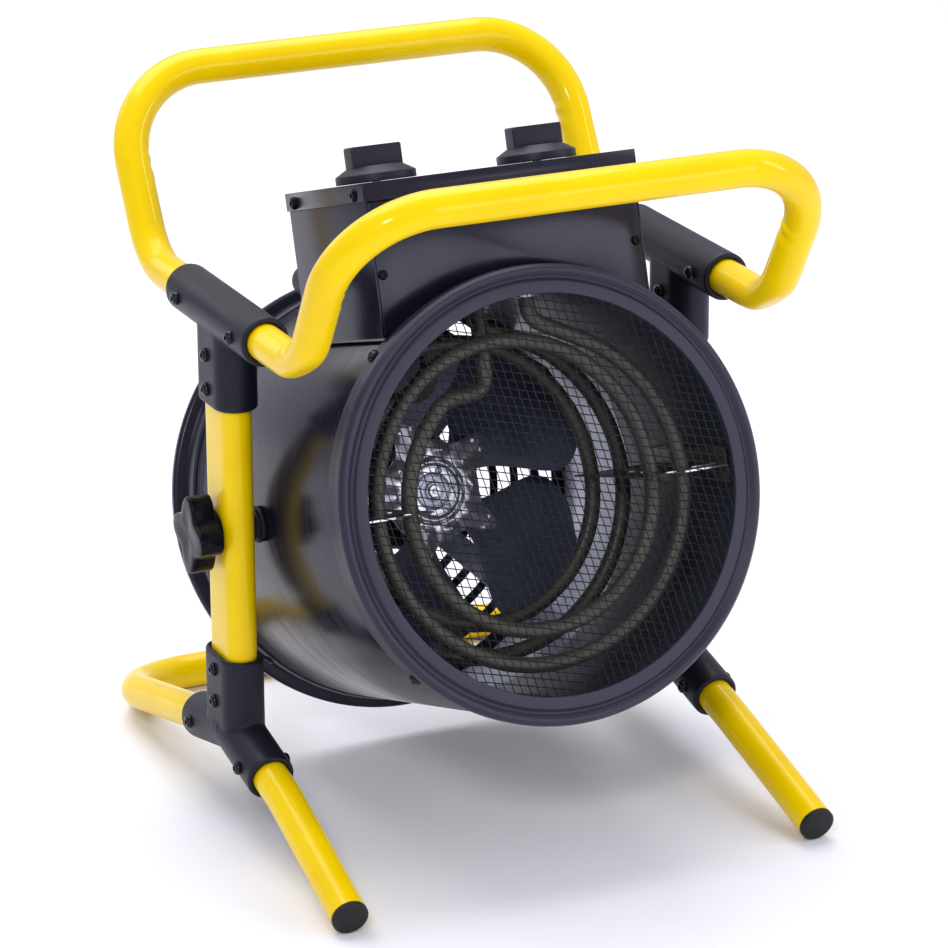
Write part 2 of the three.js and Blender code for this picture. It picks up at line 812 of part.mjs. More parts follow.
/** Front grille, a square mesh of wires inside a flat rim. */
function frontGrille() {
  const clear = grilleRadius - grilleRim;
  const half = (grillePitch - grilleWire) / 2;
  const count = Math.ceil(clear / grillePitch);
  const front = grilleBack + grilleDepth;
  const gaps = [];
  for (let i = -count; i <= count; i += 1) {
    for (let j = -count; j <= count; j += 1) {
      const x = i * grillePitch;
      const z = j * grillePitch;
      if (Math.hypot(Math.abs(x) + half, Math.abs(z) + half) < clear) {
        gaps.push(block([x - half, -front - overrun, z - half], [x + half, -grilleBack + overrun, z + half]));
      }
    }
  }
  return carve([disc(grilleRadius, front, grilleBack)], gaps);
}

/** Heat liner, a thin pipe inside the front of the drum. */
function heatLiner() {
  return carve([pipe(linerRadius, linerBore, grilleBack - seatGap, -linerRear)], elementHoles());
}

/** Smooth step from 0 to 1 between two angles. */
function easeBetween(angle, from, to) {
  const share = Math.min(Math.max((angle - from) / (to - from), 0), 1);
  return share * share * (3 - 2 * share);
}

/** Point of a spiral at an angle clockwise from the top, seen from the front. */
function spiralPoint(angle, plane) {
  const drop = easeBetween(angle, elementStepFrom, elementStepTo);
  const radius = elementOuterTurn + (elementInnerTurn - elementOuterTurn) * drop;
  return new THREE.Vector3(
    elementCentreX + radius * Math.sin(angle), -plane, elementCentreUp + radius * Math.cos(angle),
  );
}

/** Stations of one heating element: down, round twice, inward, and up again. */
function elementStations(plane) {
  const first = spiralPoint(elementStartAngle, plane);
  const rise = (first.x - elementInletX) * Math.tan(elementStartAngle);
  const start = bentStations([
    [elementInletX, -plane, elementTop],
    [elementInletX, -plane, first.z + rise],
    first.toArray(),
  ], [elementBend]);
  const sweep = elementEndAngle - elementStartAngle;
  const steps = Math.round((spiralSteps * sweep) / (2 * Math.PI));
  const loops = [];
  for (let i = 1; i < steps; i += 1) {
    loops.push(spiralPoint(elementStartAngle + (sweep * i) / steps, plane));
  }
  const last = spiralPoint(elementEndAngle, plane);
  const ahead = [last.x + elementLead * Math.cos(elementEndAngle), -plane,
    last.z - elementLead * Math.sin(elementEndAngle)];
  const back = elementOutletSetback - plane;
  const end = bentStations([
    last.toArray(),
    ahead,
    [elementOutletX, back, elementShelf],
    [elementOutletX, back, elementTop],
  ], [elementBend, elementBend - seatGap]);
  return [...start, ...loops, ...end];
}

/** Least gap between far stretches of a wound tube, measured between stations. */
function leastSelfGap(stations, diameter) {
  const fine = [];
  for (let i = 0; i < stations.length - 1; i += 1) {
    for (let k = 0; k < selfGapSteps; k += 1) {
      fine.push(stations[i].clone().lerp(stations[i + 1], k / selfGapSteps));
    }
  }
  const lengths = [0];
  for (let i = 1; i < fine.length; i += 1) lengths.push(lengths[i - 1] + fine[i].distanceTo(fine[i - 1]));
  let least = Infinity;
  for (let i = 0; i < fine.length; i += 1) {
    for (let j = i + 1; j < fine.length; j += 1) {
      const far = lengths[j] - lengths[i] > selfGapFarShare * diameter;
      if (far) least = Math.min(least, fine[i].distanceTo(fine[j]));
    }
  }
  return least - diameter;
}

/** Heating element on one plane. */
function heatingElement(plane) {
  const stations = elementStations(plane);
  const gap = leastSelfGap(stations, elementDiameter);
  console.log(`least gap of the heating element at ${plane} mm to itself: ${gap.toFixed(2)} mm`);
  return swept(stations, elementDiameter / 2, 0, elementSides);
}

/** Bracket on one side: a level plate that the element tubes pass through, and a tab on the liner. */
function elementBracket(side) {
  const front = elementPlanes[0] + bracketOverhang;
  const rear = elementPlanes[1] - bracketOverhang;
  const outer = linerBore * Math.cos(Math.PI / drumSides) - 2 * seatGap;
  const inside = side * bracketInner;
  const outside = side * outer;
  const shelf = block(
    [Math.min(inside, outside), -front, -sheet / 2], [Math.max(inside, outside), -rear, sheet / 2],
  );
  const tabReach = Math.sqrt(outer * outer - (bracketTab * bracketTab) / 4) * side;
  const tabInner = tabReach - side * sheet;
  const tab = block(
    [Math.min(tabReach, tabInner), -front, -bracketTab / 2],
    [Math.max(tabReach, tabInner), -rear, bracketTab / 2],
  );
  const holes = elementPlanes.flatMap((plane) => [0, 1].map((turn) => {
    const quarter = side > 0 ? Math.PI / 2 : (3 * Math.PI) / 2;
    const point = spiralPoint(quarter + 2 * Math.PI * turn, plane);
    return bar([point.x, point.y, -bracketTab], [point.x, point.y, bracketTab], bracketHoleRadius, boltSides);
  }));
  return carve([shelf, tab], holes);
}

/** One fan blade, a twisted plate from the hub to the tip. */
function fanBlade(index) {
  const middle = fanFirstBlade + (index * 2 * Math.PI) / fanBlades;
  const across = fanBladeAcross;
  const along = fanBladeAlong;
  const faces = [];
  const points = [];
  for (const layer of [-1, 1]) {
    for (let i = 0; i <= along; i += 1) {
      const radius = fanBladeRoot + ((fanTipRadius - fanBladeRoot) * i) / along;
      const narrow = 1 - fanTipNarrowShare * easeBetween(i, fanTipStartShare * along, along);
      for (let j = 0; j <= across; j += 1) {
        const swing = (j / across - 0.5) * fanBladeAngle * narrow;
        const angle = middle + swing;
        const rise = radius * Math.tan(fanBladePitch) * (1 - fanTwistShare * (i / along));
        const forward = -fanPlane + swing * rise;
        points.push(
          radius * Math.sin(angle), -(forward + (layer * fanBladeSheet) / 2), radius * Math.cos(angle),
        );
      }
    }
  }
  const row = across + 1;
  const sheetSize = row * (along + 1);
  const at = (layer, i, j) => layer * sheetSize + i * row + j;
  const quad = (a, b, c, d) => faces.push(a, b, c, a, c, d);
  for (let i = 0; i < along; i += 1) {
    for (let j = 0; j < across; j += 1) {
      quad(at(0, i, j), at(0, i, j + 1), at(0, i + 1, j + 1), at(0, i + 1, j));
      quad(at(1, i, j), at(1, i + 1, j), at(1, i + 1, j + 1), at(1, i, j + 1));
    }
  }
  for (let j = 0; j < across; j += 1) {
    quad(at(0, 0, j), at(1, 0, j), at(1, 0, j + 1), at(0, 0, j + 1));
    quad(at(0, along, j + 1), at(1, along, j + 1), at(1, along, j), at(0, along, j));
  }
  for (let i = 0; i < along; i += 1) {
    quad(at(0, i + 1, 0), at(1, i + 1, 0), at(1, i, 0), at(0, i, 0));
    quad(at(0, i, across), at(1, i, across), at(1, i + 1, across), at(0, i + 1, across));
  }
  const geometry = new THREE.BufferGeometry();
  geometry.setAttribute('position', new THREE.Float32BufferAttribute(points, 3));
  geometry.setIndex(faces);
  return geometry;
}

/** Fan with a round hub and five blades. */
function fanRotor() {
  const front = -fanPlane + fanHubDepth / 2;
  const hub = disc(fanHubRadius, front, front - fanHubDepth);
  const boss = disc(fanBossRadius, front + fanBossRise, front - fanBossDepth, roundSides);
  const blades = Array.from({ length: fanBlades }, (_, index) => fanBlade(index));
  const bore = disc(shaftRadius + seatGap, front + 2 * overrun, front - 4 * overrun, roundSides);
  return carve([hub, boss, ...blades], [bore]);
}

/** Motor body with a front boss and a bore for its shaft. */
function fanMotor() {
  const body = turned([
    [0, -motorFront], [motorRadius * motorEndShare, -motorFront], [motorRadius, -motorFront - motorEdge],
    [motorRadius, -motorRear + motorEdge], [motorRadius * motorEndShare, -motorRear], [0, -motorRear],
  ], motorSides);
  const boss = disc(motorBossRadius, -motorFront + motorBossDepth, -motorFront - overrun, roundSides);
  const bore = disc(shaftRadius + boltRunning, 0, -(motorFront + motorRear) / 2, roundSides);
  return carve([body, boss], [bore]);
}

/** Shaft that carries the fan in front of the motor. */
function motorShaft() {
  const rear = -(motorFront + motorRear) / 2 + seatGap;
  return disc(shaftRadius, -fanPlane + shaftRise, rear, roundSides);
}

/** Cross of flat arms that holds the motor in the drum. */
function motorBracket() {
  const front = -motorRear - seatGap;
  const reach = drumBore * Math.cos(Math.PI / drumSides) - seatGap;
  const half = motorArmWidth / 2;
  const tipReach = Math.sqrt(reach * reach - half * half);
  const arms = [];
  for (let i = 0; i < motorArms; i += 1) {
    const arm = block([-half, -front, 0], [half, -front + motorArmSheet, tipReach]);
    const tab = block([-half, -front, tipReach - motorArmSheet], [half, -front + motorTabDepth, tipReach]);
    for (const bit of [arm, tab]) {
      bit.rotateY(Math.PI / motorArms + (2 * Math.PI * i) / motorArms);
      arms.push(bit);
    }
  }
  const ring = disc(motorPlateRadius, front, front - motorArmSheet, roundSides);
  return carve([ring, ...arms]);
}

/** Control box, a tub that stands on the drum and is open in front and on top. */
function controlBox() {
  const inside = boxHalfWidth - sheet;
  const skirtRear = ringFront - ringSkirtDepth - sheet;
  const under = carve([
    disc(saddleRadius, boxFront + overrun, -overrun),
    disc(skirtRadius + seatGap, boxFront + overrun, skirtRear),
  ]);
  const saddle = carve([
    disc(saddleRadius + sheet, boxFront - saddleSetback, -overrun),
    disc(skirtRadius + seatGap + sheet, boxFront + 2 * overrun, skirtRear - 2 * sheet),
  ]);
  const outer = block([-boxHalfWidth, -boxFront, 0], [boxHalfWidth, -boxRear, boxTop]);
  const cavity = carve(
    [block([-inside, -boxFront - overrun, 0], [inside, -boxRear - sheet, boxTop + overrun])],
    [saddle],
  );
  const flangeFront = -boxFront + sheet + seatGap;
  const flanges = [-1, 1].map((side) => {
    const across = [side * (inside + sheet / 2), side * (inside - boxFlange)].sort((a, b) => a - b);
    return block([across[0], flangeFront, boxSideFoot], [across[1], flangeFront + sheet, panelTop]);
  });
  const keep = Math.sqrt((saddleRadius + sheet) ** 2 - boxSideFoot ** 2);
  const low = [-overrun, -boxFront - overrun, -overrun];
  const footCuts = [-1, 1].map((side) => {
    const across = [side * keep, side * (boxHalfWidth + overrun)].sort((a, b) => a - b);
    return block([across[0], low[1], low[2]], [across[1], overrun, boxSideFoot]);
  });
  const gland = bar(
    [glandX, overrun, glandHeight], [glandX, -boxRear - sheet - overrun, glandHeight], glandThread + seatGap,
  );
  return carve([carve([outer], [cavity]), ...flanges], [under, gland, ...footCuts, ...elementHoles()]);
}

/** Front panel of the control box, cut round where the ring passes. */
function boxPanel() {
  const half = boxHalfWidth - sheet - seatGap;
  const low = boxSideFoot + sheet;
  return carve(
    [block([-half, -boxFront, low], [half, -boxFront + sheet, panelTop])],
    [disc(skirtRadius + sheet + 2 * seatGap, boxFront + overrun, 0)],
  );
}

/** Lid with a flange down all four sides and two holes for the switch spindles. */
function boxLid() {
  const grow = seatGap + sheet;
  const low = boxTop + seatGap;
  const outer = block(
    [-boxHalfWidth - grow, -boxFront - grow, low + sheet - lidFlange],
    [boxHalfWidth + grow, -boxRear + grow, low + sheet],
  );
  const cavity = block(
    [-boxHalfWidth - seatGap, -boxFront - seatGap, low - 2 * lidFlange],
    [boxHalfWidth + seatGap, -boxRear + seatGap, low],
  );
  const holes = [-1, 1].map((side) => bar(
    [side * knobSpacing, -knobPlane, boxTop - overrun],
    [side * knobSpacing, -knobPlane, boxTop + overrun],
    spindleRadius + boltRunning, boltSides,
  ));
  return carve([outer], [cavity, ...holes]);
}

/** Switch or thermostat body under the lid, with its round spindle up through the lid. */
function switchBody(side, depth) {
  const x = side * knobSpacing;
  const body = block(
    [x - switchHalf, -knobPlane - switchHalf, boxTop - depth],
    [x + switchHalf, -knobPlane + switchHalf, boxTop],
  );
  const spindle = bar(
    [x, -knobPlane, boxTop - sheet], [x, -knobPlane, boxTop + spindleRise], spindleRadius, boltSides,
  );
  return carve([body, spindle]);
}

/** Dial knob: round skirt, sloping shoulder and a straight grip across the dial. */
function dialKnob(side) {
  const base = boxTop + seatGap + sheet + knobLift;
  const shoulder = base + knobSkirt + knobShoulder;
  const skirt = new THREE.LatheGeometry([
    new THREE.Vector2(0, 0), new THREE.Vector2(knobRadius, 0), new THREE.Vector2(knobRadius, knobSkirt),
    new THREE.Vector2(knobGripLength / 2, knobSkirt + knobShoulder),
    new THREE.Vector2(0, knobSkirt + knobShoulder),
  ], knobSides);
  skirt.rotateX(Math.PI / 2);
  skirt.translate(0, 0, base);
  const grip = block(
    [-knobGripLength / 2, -knobGripWidth / 2, shoulder - knobSkirt],
    [knobGripLength / 2, knobGripWidth / 2, shoulder + knobGripHeight],
  );
  const boreTop = boxTop + spindleRise + seatGap;
  const bore = bar([0, 0, base - overrun], [0, 0, boreTop], spindleRadius + boltRunning, boltSides);
  return carve([skirt, grip], [bore]).translate(side * knobSpacing, -knobPlane, 0);
}

/** Terminal block that stands on the saddle in the box. */
function terminalBlock() {
  const floorHeight = skirtRadius;
  const rail = block(
    [-terminalLength / 2, -terminalPlane, floorHeight],
    [terminalLength / 2, -terminalPlane + terminalWidth, floorHeight + terminalHeight],
  );
  const top = floorHeight + terminalHeight;
  const notches = Array.from({ length: terminalWays }, (_, way) => {
    const x = ((way - (terminalWays - 1) / 2) * terminalLength) / terminalWays;
    return block(
      [x - terminalNotch / 2, -terminalPlane - overrun, top - terminalNotch],
      [x + terminalNotch / 2, -terminalPlane + terminalNotch, top + overrun],
    );
  });
  return carve([rail], [...notches, disc(saddleRadius + sheet + seatGap, boxFront, 0)]);
}

/** Cable gland on the back of the box: a nut inside, a flange, a cap and a bore. */
function cableGland() {
  const inside = boxRear + sheet + seatGap;
  const outside = boxRear - seatGap;
  return turnedRing([
    [glandBore, inside + glandNut], [glandCapRadius, inside + glandNut],
    [glandCapRadius, inside], [glandThread, inside],
    [glandThread, outside], [glandRadius, outside],
    [glandRadius, outside - glandNut], [glandCapRadius, outside - glandNut - glandFlange],
    [glandCapRadius, glandFlange - glandLength], [glandBore + sheet, -glandLength],
    [glandBore, -glandLength],
  ], roundSides).translate(glandX, 0, glandHeight);
}

/** Overheat cut-out, a small round can on the saddle. */
function overheatCutout() {
  const seat = saddleRadius + sheet + seatGap;
  const foot = Math.sqrt(seat * seat - (cutoutX - cutoutRadius) ** 2);
  const top = foot + cutoutHeight;
  return carve(
    [bar([cutoutX, -cutoutPlane, foot - 2 * cutoutHeight], [cutoutX, -cutoutPlane, top], cutoutRadius)],
    [disc(seat, boxFront, 0)],
  );
}

/** Pivot bolt with a flat round head inside the drum. */
function pivotBolt(side) {
  const headTop = drumBore * Math.cos(Math.PI / drumSides) - seatGap;
  const end = uprightOuter + seatGap + starKnobBore;
  return carve([
    bar([side * (headTop - pivotHeadHeight), 0, 0], [side * headTop, 0, 0], pivotHeadRadius),
    bar([side * (headTop - pivotHeadHeight / 2), 0, 0], [side * end, 0, 0], pivotBoltRadius, boltSides),
  ]);
}

/** Star knob with rounded lobes, a boss towards the upright and a blind bore. */
function starKnob(side) {
  const points = [];
  for (let i = 0; i < starKnobSteps; i += 1) {
    const angle = (2 * Math.PI * i) / starKnobSteps;
    const wave = (1 + Math.cos(starKnobLobes * (angle - starKnobFirstLobe))) / 2;
    const radius = starKnobRoot + (starKnobRadius - starKnobRoot) * wave;
    points.push(new THREE.Vector2(radius * Math.sin(angle), radius * Math.cos(angle)));
  }
  const lobes = new THREE.ExtrudeGeometry(new THREE.Shape(points), {
    depth: starKnobDepth - starKnobBossDepth, bevelEnabled: false,
  });
  lobes.rotateX(Math.PI / 2);
  lobes.rotateZ(-side * Math.PI / 2);
  const seat = uprightOuter + seatGap;
  const reach = seat + starKnobDepth;
  const bounds = new THREE.Box3().setFromBufferAttribute(lobes.attributes.position);
  lobes.translate(side > 0 ? reach - bounds.max.x : -reach - bounds.min.x, 0, 0);
  const boss = bar([side * seat, 0, 0], [side * (seat + starKnobDepth / 2), 0, 0], starKnobBossRadius);
  const bore = bar(
    [side * (seat - overrun), 0, 0], [side * (seat + starKnobBore + seatGap), 0, 0],
    pivotBoltRadius + boltRunning, boltSides,
  );
  return carve([lobes, boss], [bore]);
}

/** Builds every piece that tilts, in the drum's own frame. */
function buildDrum(group) {
  addPiece(group, 'drum_shell', drumShell(), 'drumBlack');
  addPiece(group, 'front_ring', frontRing(), 'ringGrey');
  addPiece(group, 'front_grille', frontGrille(), 'boltSteel');
  addPiece(group, 'rear_rim', rearRim(), 'drumBlack');
  addPiece(group, 'rear_guard', rearGuard(), 'drumBlack');
  addPiece(group, 'heat_liner', heatLiner(), 'paleSheet');
  addPiece(group, 'front_element', heatingElement(elementPlanes[0]), 'elementSteel');
  addPiece(group, 'rear_element', heatingElement(elementPlanes[1]), 'elementSteel');
  addPiece(group, 'fan_rotor', fanRotor(), 'brightMetal');
  addPiece(group, 'motor_shaft', motorShaft(), 'brightMetal');
  addPiece(group, 'fan_motor', fanMotor(), 'motorBlack');
  addPiece(group, 'motor_bracket', motorBracket(), 'paleSheet');
  addPiece(group, 'control_box', controlBox(), 'drumBlack');
  addPiece(group, 'box_front_panel', boxPanel(), 'drumBlack');
  addPiece(group, 'box_lid', boxLid(), 'drumBlack');
  addPiece(group, 'selector_switch', switchBody(-1, switchDepth), 'paleCeramic');
  addPiece(group, 'thermostat_body', switchBody(1, thermostatDepth), 'brightMetal');
  addPiece(group, 'selector_knob', dialKnob(-1), 'knobBlack');
  addPiece(group, 'thermostat_knob', dialKnob(1), 'knobBlack');
  addPiece(group, 'terminal_block', terminalBlock(), 'paleCeramic');
  addPiece(group, 'cable_gland', cableGland(), 'rubber');
  addPiece(group, 'overheat_cutout', overheatCutout(), 'brightMetal');
  for (const [sideName, side] of [['left', -1], ['right', 1]]) {
    addPiece(group, `${sideName}_element_bracket`, elementBracket(side), 'paleSheet');
    addPiece(group, `${sideName}_pivot_bolt`, pivotBolt(side), 'boltSteel');
    addPiece(group, `${sideName}_star_knob`, starKnob(side), 'starKnob');
  }
}

// Assembly

const heater = new THREE.Group();
const standing = new THREE.Group();
const drum = new THREE.Group();
buildFrame(standing);
buildDrum(drum);
drum.position.set(0, 0, pivotHeight);
drum.rotation.x = -restTilt;
standing.add(drum);
heater.add(standing);

// The origin is on the floor under the middle of the heater's whole length.
const frontEnd = new THREE.Box3().setFromObject(standing);
standing.position.y = -(frontEnd.min.y + frontEnd.max.y) / 2;

export default heater;
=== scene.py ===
"""Fan heater on a tilting tubular stand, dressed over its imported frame.

Every shape is a surface worked out with numpy in millimetres, in the frame of the
stand or of the drum, and is then placed in the row's frame in metres.
"""

import json
import logging
import math
from dataclasses import dataclass
from enum import Enum
from functools import cache

import bmesh
import bpy
import numpy as np
from mathutils import Matrix, Vector


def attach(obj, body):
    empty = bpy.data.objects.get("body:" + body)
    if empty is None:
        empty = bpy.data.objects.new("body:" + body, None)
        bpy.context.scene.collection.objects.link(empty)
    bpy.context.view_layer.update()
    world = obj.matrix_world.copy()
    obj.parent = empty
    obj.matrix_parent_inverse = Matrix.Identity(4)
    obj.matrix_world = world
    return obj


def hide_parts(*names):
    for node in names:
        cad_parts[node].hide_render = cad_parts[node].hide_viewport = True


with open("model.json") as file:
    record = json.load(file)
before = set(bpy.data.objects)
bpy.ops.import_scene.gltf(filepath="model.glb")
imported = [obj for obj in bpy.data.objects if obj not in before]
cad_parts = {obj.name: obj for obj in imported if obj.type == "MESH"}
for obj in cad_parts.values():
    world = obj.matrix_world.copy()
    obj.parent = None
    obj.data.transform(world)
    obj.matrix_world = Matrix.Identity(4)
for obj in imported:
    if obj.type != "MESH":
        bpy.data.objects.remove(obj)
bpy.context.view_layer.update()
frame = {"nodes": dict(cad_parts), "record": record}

LOG = logging.getLogger("fan_heater")
MM = 0.001
TILT = math.radians(17.15)
CLEAR = 0.3
TURN = 2.0 * math.pi
QUARTER = math.pi / 2
ALONG_X, ALONG_Y = (1.0, 0.0, 0.0), (0.0, 1.0, 0.0)
SIDES = (("left", -1), ("right", 1))
WELD_GAP, LEAST_EDGE = 2e-6, 1e-7
POLE, ROD_EDGE = 1e-4, 0.6
BUMP_HEIGHT = 0.0006
SHEET_CREASE, RING_CREASE, TUBE_CREASE, SMALL_CREASE = 38.0, 50.0, 60.0, 30.0
KNOB_CREASE, BUSH_CREASE, HUB_CREASE, WIRE_CREASE = 35.0, 40.0, 75.0, 80.0


def pivot_place() -> np.ndarray:
    """Place of the drum's pivot in millimetres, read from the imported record."""
    joints = frame["record"]["behaviour"]["joints"]
    return np.array(next(joint for joint in joints if joint["name"] == "drum_tilt")["pos_m"]) / MM


PIVOT = pivot_place()


class Space(Enum):
    """The frame that a sub-assembly's own millimetres lie in."""

    STAND = "stand"
    DRUM = "drum"


def placed(points: np.ndarray, space: Space) -> np.ndarray:
    """Moves points from their own frame into the row's frame.

    Drum points turn by the rest tilt about X and then move to the pivot. Stand points
    only move back by the pivot's place along Y.

    Args:
        points: Array of x, y, z in millimetres, y being minus the way forward.
        space: Frame that the points are given in.

    Returns:
        The points in metres in the row's frame.
    """
    if space is Space.STAND:
        return (points + np.array([0.0, PIVOT[1], 0.0])) * MM
    cos, sin = math.cos(TILT), math.sin(TILT)
    turn = np.array([[1.0, 0.0, 0.0], [0.0, cos, sin], [0.0, -sin, cos]])
    return (points @ turn.T + PIVOT) * MM


@dataclass
class Surface:
    """Points and faces of one closed shape, or of several side by side."""

    points: np.ndarray
    quads: np.ndarray

    def moved(self, x: float = 0.0, y: float = 0.0, z: float = 0.0) -> "Surface":
        """Returns the surface moved by an offset."""
        return Surface(self.points + np.array([x, y, z]), self.quads)

    def turned(self, axis: str, angle: float) -> "Surface":
        """Returns the surface turned by an angle about one axis through the origin."""
        return Surface(self.points @ np.array(Matrix.Rotation(angle, 3, axis)).T, self.quads)

    def on_side(self, side: int) -> "Surface":
        """Returns the surface for the right (1), or mirrored in X for the left (-1)."""
        return self if side > 0 else Surface(self.points * np.array([-1.0, 1.0, 1.0]), self.quads[:, ::-1])

    def outward(self) -> "Surface":
        """Turns the faces outwards, by the sign of the volume.

        Returns:
            The surface, or one with every face turned over.
        """
        a, b, c, d = (self.points[self.quads[:, k]] for k in range(4))
        volume = np.einsum("ij,ij->", a, np.cross(b, c)) + np.einsum("ij,ij->", a, np.cross(c, d))
        return self if volume > 0 else Surface(self.points, self.quads[:, ::-1])


def together(*parts: Surface) -> Surface:
    """Puts several surfaces side by side into one.

    Args:
        parts: The surfaces, whose order is kept.

    Returns:
        The one surface.
    """
    starts = np.cumsum([0] + [len(part.points) for part in parts[:-1]])
    return Surface(np.vstack([part.points for part in parts]),
                   np.vstack([part.quads + start for part, start in zip(parts, starts)]))


def grid(points: np.ndarray, close_u: bool = False) -> Surface:
    """Joins a grid of points into quads; its columns always meet again.

    Args:
        points: Array of shape (u, v, 3).
        close_u: Whether the last row meets the first.

    Returns:
        The surface, its faces turned outwards.
    """
    rows, columns = points.shape[:2]
    at_u, at_v = np.meshgrid(np.arange(rows if close_u else rows - 1), np.arange(columns), indexing="ij")
    next_u, next_v = (at_u + 1) % rows, (at_v + 1) % columns
    corners = ((at_u, at_v), (next_u, at_v), (next_u, next_v), (at_u, next_v))
    quads = np.stack([(u * columns + v).ravel() for u, v in corners], axis=1)
    return Surface(points.reshape(-1, 3), quads).outward()


def rounded(corners: list, radii: list, step: float = 12.0) -> np.ndarray:
    """Path through corners with every inner corner turned into an arc.

    An arc of radius r leaves its legs at r times the tangent of half the turn, and its
    points are start + along r sin(a) + inward r (1 - cos(a)).

    Args:
        corners: Points of two or three numbers.
        radii: Radius at each inner corner.
        step: Largest turn in degrees between two points.

    Returns:
        The points of the path.
    """
    corners = [np.array(corner, dtype=float) for corner in corners]
    path = [corners[0][None]]
    for before, here, after, radius in zip(corners, corners[1:], corners[2:], radii):
        arriving = (here - before) / np.linalg.norm(here - before)
        leaving = (after - here) / np.linalg.norm(after - here)
        turn = math.acos(float(np.clip(arriving @ leaving, -1.0, 1.0)))
        inward = leaving - arriving * (arriving @ leaving)
        length = np.linalg.norm(inward)
        if radius <= 0 or length < 1e-9:
            path.append(here[None])
            continue
        start = here - arriving * radius * math.tan(turn / 2)
        angles = np.linspace(0.0, turn, max(2, math.ceil(math.degrees(turn) / step) + 1))[:, None]
        path.append(start + arriving * radius * np.sin(angles)
                    + inward / length * radius * (1.0 - np.cos(angles)))
    path.append(corners[-1][None])
    return np.vstack(path)


def rounded_loop(corners: list, radius: float, step: float = 30.0) -> np.ndarray:
    """Closed outline with every corner turned into an arc of one radius."""
    return rounded([corners[-1], *corners, corners[0]], [radius] * len(corners), step)[1:-1]


def spaced(path: np.ndarray, step: float) -> np.ndarray:
    """Adds evenly spaced points to the long straight stretches of a path.

    Args:
        path: Points of the path.
        step: Largest distance between two points.

    Returns:
        The path with the points added.
    """
    counts = np.maximum(1, np.ceil(np.linalg.norm(np.diff(path, axis=0), axis=1) / step).astype(int))
    stretches = [np.linspace(a, b, count, endpoint=False) for a, b, count in zip(path, path[1:], counts)]
    return np.vstack([*stretches, path[-1:]])


def lathe(profile: np.ndarray, sides: int = 96, closed: bool = True) -> Surface:
    """Surface of a profile turned about the Y axis.

    A point of radius r and forward place a at the angle t is (r sin t, -a, r cos t).

    Args:
        profile: Points of radius and forward place.
        sides: Number of steps round the axis.
        closed: Whether the profile's last point meets its first, as on a ring.

    Returns:
        The turned surface.
    """
    profile = np.asarray(profile, dtype=float)
    angle = np.arange(sides) * TURN / sides
    radius, forward = profile[:, :1], profile[:, 1:]
    return grid(np.stack([radius * np.sin(angle), -forward + 0.0 * angle, radius * np.cos(angle)], axis=2), closed)


def wall(path: np.ndarray, section: np.ndarray, reference: tuple) -> np.ndarray:
    """Grid of a section carried along a path.

    The section's first axis is reference x tangent and its second tangent x first.

    Args:
        path: Points of the path, shape (u, 3).
        section: Outline of shape (v, 2), or one for each station, shape (u, v, 2).
        reference: Direction that no tangent of the path is parallel to.

    Returns:
        Points of shape (u, v, 3).
    """
    tangent = np.gradient(path, axis=0)
    tangent /= np.linalg.norm(tangent, axis=1, keepdims=True)
    first = np.cross(np.array(reference), tangent)
    first /= np.linalg.norm(first, axis=1, keepdims=True)
    second = np.cross(tangent, first)
    return path[:, None] + section[..., :1] * first[:, None] + section[..., 1:] * second[:, None]


def circle(radius: float, sides: int) -> np.ndarray:
    """Outline of a circle."""
    angle = np.arange(sides) * TURN / sides
    return radius * np.stack([np.cos(angle), np.sin(angle)], axis=1)


def oval(depth: float, thickness: float, sides: int = 24) -> np.ndarray:
    """Outline of two half circles joined by straight sides, its long way on the second axis.

    Args:
        depth: Its long measure.
        thickness: Its short measure.
        sides: Number of points on each half circle.

    Returns:
        The points of the outline.
    """
    angle = np.linspace(0.0, math.pi, sides)
    cap = thickness / 2 * np.stack([np.cos(angle), np.sin(angle)], axis=1)
    reach = np.array([0.0, depth / 2 - thickness / 2])
    return np.vstack([cap + reach, -cap - reach])


def rod(path: np.ndarray, radius: float, reference: tuple, sides: int = 24) -> Surface:
    """Solid round rod along a path, its radius growing from nothing over a soft edge at both ends.

    Args:
        path: Points of the path.
        radius: Radius of the rod.
        reference: Direction that no tangent of the path is parallel to.
        sides: Number of points round the rod.

    Returns:
        The surface of the rod.
    """
    ahead = (path[1] - path[0]) / np.linalg.norm(path[1] - path[0])
    behind = (path[-2] - path[-1]) / np.linalg.norm(path[-2] - path[-1])
    stations = np.vstack([path[:1], path[:1] + ahead * 1e-3, path[:1] + ahead * ROD_EDGE, path[1:-1],
                          path[-1:] + behind * ROD_EDGE, path[-1:] + behind * 1e-3, path[-1:]])
    radii = np.full(len(stations), radius)
    radii[[0, -1]] = POLE
    radii[[1, -2]] = radius - ROD_EDGE
    return grid(wall(stations, circle(1.0, sides)[None] * radii[:, None, None], reference))


def prism(outline: np.ndarray, low: float, high: float, edge: float = 0.0) -> Surface:
    """Upright solid of an outline in the XY plane with softened top and bottom edges.

    Rows run from the middle of the floor out to the outline, up the side and back in.

    Args:
        outline: Points of the outline.
        low: Height of the floor.
        high: Height of the top.
        edge: Width of the softened edges.

    Returns:
        The surface of the solid.
    """
    centre = outline.mean(axis=0)
    shrink = 1.0 - edge / np.abs(outline - centre).max()
    rows = [(0.0, low), (shrink, low), (1.0, low + edge), (1.0, high - edge), (shrink, high), (0.0, high)]
    return grid(np.stack([np.column_stack([centre + (outline - centre) * share, np.full(len(outline), z)])
                          for share, z in rows]))


def rounded_block(low: tuple, high: tuple, radius: float) -> Surface:
    """Block between two corners with rounded upright edges and softened flat ones."""
    corners = [(low[0], low[1]), (high[0], low[1]), (high[0], high[1]), (low[0], high[1])]
    return prism(rounded_loop(corners, radius), low[2], high[2], min(radius, (high[2] - low[2]) / 3))


